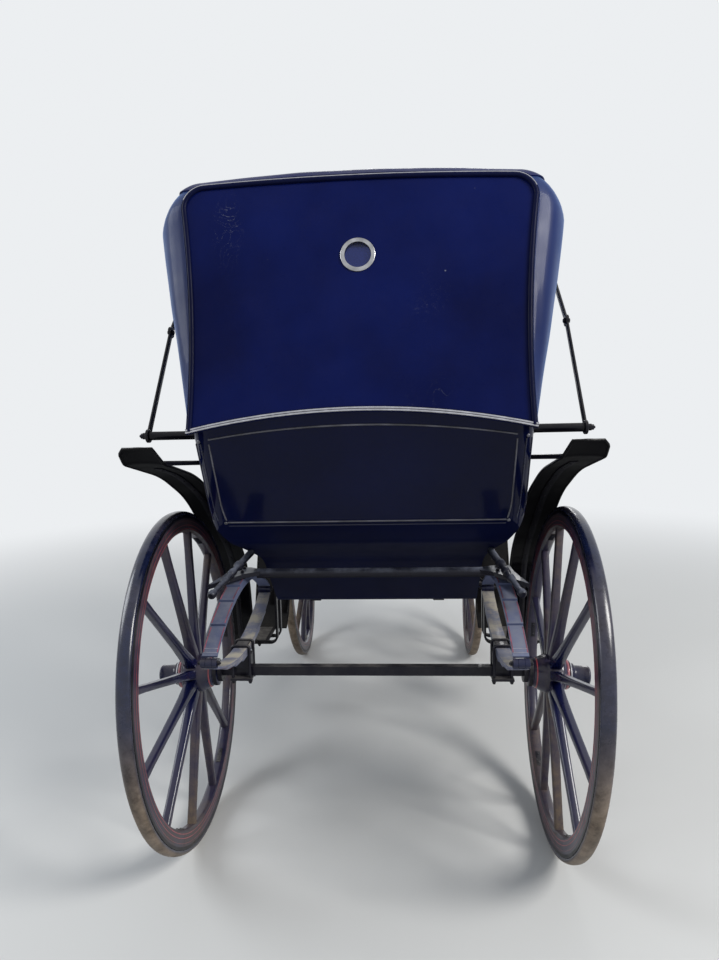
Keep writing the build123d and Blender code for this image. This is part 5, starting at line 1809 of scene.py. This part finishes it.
nuts = []
for side in (-1, 1):
    nuts += [(mm(side * 663, -170, 1361), (side, 0, 0), 0.95), (mm(side * 653, 300, 1868), (side, 0, 0), 0.8)]
    nuts += [(mm(side * x, y, 902.4), (0, 0, 1), 0.7)
             for x, y in ((418, 22), (444, 22), (414, -26), (438, -58))]
    nuts += [(mm(side * 330, y, 923.2), (0, 0, 1), 0.6) for y in (1180, 1600, 1900)]
fasteners("body_nuts", nuts, hex_nut, dusty_iron, "carriage_body")
print("joint irons:", len(iron_shapes), "nuts:", len(nuts))

# %% [markdown]
# The shafts are wood, so iron protects them where the harness rubs: three bands and a cap on
# each. A bent loop on two of the bands takes the harness's straps.

# %% Shaft fittings
shaft_low, shaft_high = Vector((268.0, 3860.0, 21.0)), Vector((312.0, 2600.0, 640.0))
band_profile = boss(0.0230, 0.014, 0.0012, 0.0190)
tip_profile = [(-0.055, 0.0190), (-0.055, 0.0222), (-0.0535, 0.0228), (-0.004, 0.0228), (0.0005, 0.0218),
               (0.0030, 0.0180), (0.0040, 0.0100), (0.0042, 0.0), (-0.02, 0.0), (-0.02, 0.0190)]


def on_shaft(side, y):
    """The middle of a shaft's straight part, at a place along the carriage."""
    place = shaft_high.lerp(shaft_low, (y - shaft_high.y) / (shaft_low.y - shaft_high.y))
    return mm(side * place.x, place.y, place.z)


wraps, loops_shapes = [], []
for side in (-1, 1):
    along = (on_shaft(side, 3600) - on_shaft(side, 2900)).normalized()
    wraps += [turned(band_profile, 36, facing_matrix(on_shaft(side, y), along)) for y in (2860, 3180, 3420)]
    wraps.append(turned(tip_profile, 36, facing_matrix(mm(side * 268, 4250, 21), (0, 1, 0))))
    upward = SIDEWAYS.cross(along).normalized()
    upward = upward if upward.z > 0 else -upward
    bow = [upward * (0.020 + 0.020 * math.sin(turn)) - along * 0.011 * math.cos(turn)
           for turn in (math.pi * step / 10 for step in range(11))]
    loops_shapes += [[on_shaft(side, y) + reach for reach in bow] for y in (3180, 3420)]
piece("shaft_bands", *merged(wraps), worn_steel, "shafts", "black_iron", 30, 1e-7)
bars("shaft_loops", loops_shapes, 0.0036, worn_steel, "shafts", "black_iron")
print("fittings done")

# %% [markdown]
# ## Body irons
#
# An iron on each side carries the tub back over the cross-bar. It was turned with rings, and it
# ends in a small barrel. A short post with a nut holds it on the bar's plate.

# %% Turned irons with rings
IRON_START, IRON_END = mm(402, 60, 950), mm(457, -254, 887)
IRON_PROFILE = [
    (0, 0), (0, 12), (95, 11), (100, 14.5), (104, 16), (112, 16), (116, 14.5), (121, 11), (128, 9.8),
    (150, 9.6), (153, 12.4), (155, 13), (176, 13), (178, 12.4), (181, 9.4), (200, 9), (206, 11.5),
    (210, 13), (222, 13), (226, 11.5), (231, 9), (290, 8.6), (298, 9.6), (304, 12.4), (308, 13),
    (318, 12.8), (323, 11), (325.5, 8), (326, 0)]


profile = [(along / 1000, radius / 1000) for along, radius in IRON_PROFILE]
irons = mirrored(turned(profile, 32, facing_matrix(IRON_START, IRON_END - IRON_START)))
irons = piece("body_irons_turned", *irons, plate_iron, "carriage_body", "black_iron", 32, 1e-6)
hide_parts("body_irons")
crossing = IRON_START.lerp(IRON_END, 0.51)
posts = [[Vector((side * crossing.x, crossing.y, height)) for height in (0.9015, crossing.z)]
         for side in (-1, 1)]
bars("iron_posts", posts, 0.007, dusty_iron, "carriage_body", "black_iron", sides=14)
collars = [(path[0], (0, 0, 1), 1.0) for path in posts]
fasteners("iron_post_nuts", collars, hex_nut, dusty_iron, "carriage_body")
print("body irons done")

# %% [markdown]
# ## Nodes whose shape is right as it is
#
# The ironwork, the beams and the boards keep their solids. They only take the finishes made
# above, as the table below gives them.

# %% Finishes on the frame's own nodes
NODE_FINISHES = {
    "body_tub": "panel_paint", "seat_box": "navy_paint", "boot": "navy_paint", "box_seat_board": "navy_paint",
    "deck_board": "navy_paint", "top_bed": "navy_paint", "front_bed": "navy_paint", "futchells": "navy_paint",
    "splinter_bar": "navy_paint", "shaft_left": "wheel_paint", "shaft_right": "wheel_paint",
    "shaft_tie_bar": "wheel_paint", "rear_cross_bar": "plate_iron", "body_irons": "dusty_iron",
    "rear_axle": "dusty_iron", "front_axle": "dusty_iron", "rear_springs": "dusty_iron",
    "front_springs": "dusty_iron", "rear_spring_clips": "dusty_iron", "front_spring_clips": "dusty_iron",
    "main_irons": "black_enamel", "hood_bows": "bow_wood", "window_ring": "nickel",
    "window_glass": "window_pane",
    "hood_leather": "hood_patent", "rear_wing_left": "wing_patent", "rear_wing_right": "wing_patent",
    "front_wing_left": "wing_patent", "front_wing_right": "wing_patent", "dash": "wing_patent",
    "seat_cushion": "seat_hide", "back_squab": "seat_hide", "arm_squabs": "seat_hide",
    "box_cushion": "seat_hide",
}
for name, node in nodes.items():
    node.data.materials.clear()
    node.data.materials.append(finishes[NODE_FINISHES.get(name, "black_enamel")])
print("nodes with a finish:", len(nodes))

# %% [markdown]
# ## Floor and light
#
# The floor is a wide pale disc. Far from the carriage it fades into the pale colour that the
# camera, metal and glass see in the world, so no horizon shows. The world's light on the
# object is a plain soft sky. A large lamp stands behind the camera on the right, where the sun
# was, and weaker ones on the left and in front fill the shade.

# %% The stage
BACKDROP = (0.84, 0.86, 0.88)
FLOOR_RADIUS, FADE_START, FADE_END = 9.0, 2.2, 6.0


def seen_directly(tree):
    """1 for what the camera sees by itself, in a mirror or through glass."""
    path = add(tree, "ShaderNodeLightPath").outputs
    seen = maths(tree, "MAXIMUM", path["Is Camera Ray"], path["Is Glossy Ray"])
    return maths(tree, "MAXIMUM", seen, path["Is Transmission Ray"])


floor_finish, tree, shader, place = material("pale_floor")
fill(tree, shader, {"Base Color": (0.60, 0.60, 0.59, 1), "Roughness": 0.95, "Specular IOR Level": 0.1})
far = add(tree, "ShaderNodeMapRange", {
    "Value": vector(tree, "LENGTH", place)["Value"], "From Min": FADE_START, "From Max": FADE_END},
    interpolation_type="SMOOTHSTEP").outputs[0]
glow = add(tree, "ShaderNodeEmission", {"Color": (*BACKDROP, 1), "Strength": 1.0}).outputs[0]
share = times(tree, far, seen_directly(tree))
faded = add(tree, "ShaderNodeMixShader", {
    "Fac": share, 1: tree.nodes["Principled BSDF"].outputs[0], 2: glow}).outputs[0]
tree.links.new(faded, tree.nodes["Material Output"].inputs["Surface"])
rim = [Vector((FLOOR_RADIUS * math.cos(turn), FLOOR_RADIUS * math.sin(turn), 0.0)) for turn in turns(72)]
floor = piece("floor", rim, [list(range(72))], floor_finish, None, None, 80)


def soft_lamp(name, place, target, size, watts, colour):
    """A square area lamp that faces a target."""
    data = bpy.data.lights.new(name, "AREA")
    data.shape, data.size, data.energy, data.color = "SQUARE", size, watts, colour
    lamp = bpy.data.objects.new(name, data)
    lamp.location = place
    lamp.rotation_euler = (Vector(target) - Vector(place)).to_track_quat("-Z", "Y").to_euler()
    scene.collection.objects.link(lamp)


soft_lamp("key", (5.0, -4.6, 5.0), (0, -0.8, 0.8), 2.4, 430, (1.0, 0.985, 0.955))
soft_lamp("side", (-5.4, -2.4, 4.2), (0, -0.8, 1.0), 3.0, 190, (0.93, 0.965, 1.0))
soft_lamp("front", (0.5, 6.0, 4.4), (0, 0.3, 0.8), 3.0, 170, (1, 1, 1))
world = bpy.data.worlds.new("pale_sky")
world.use_nodes = True
tree = world.node_tree
light = tree.nodes["Background"]
fill(tree, light.inputs, {"Color": (0.84, 0.91, 1.0, 1), "Strength": 0.42})
shown = add(tree, "ShaderNodeBackground", {"Color": (*BACKDROP, 1), "Strength": 1.0}).outputs[0]
both = add(tree, "ShaderNodeMixShader", {
    "Fac": seen_directly(tree), 1: light.outputs[0], 2: shown}).outputs[0]
tree.links.new(both, tree.nodes["World Output"].inputs["Surface"])
scene.world = world
scene.view_settings.view_transform = "Standard"
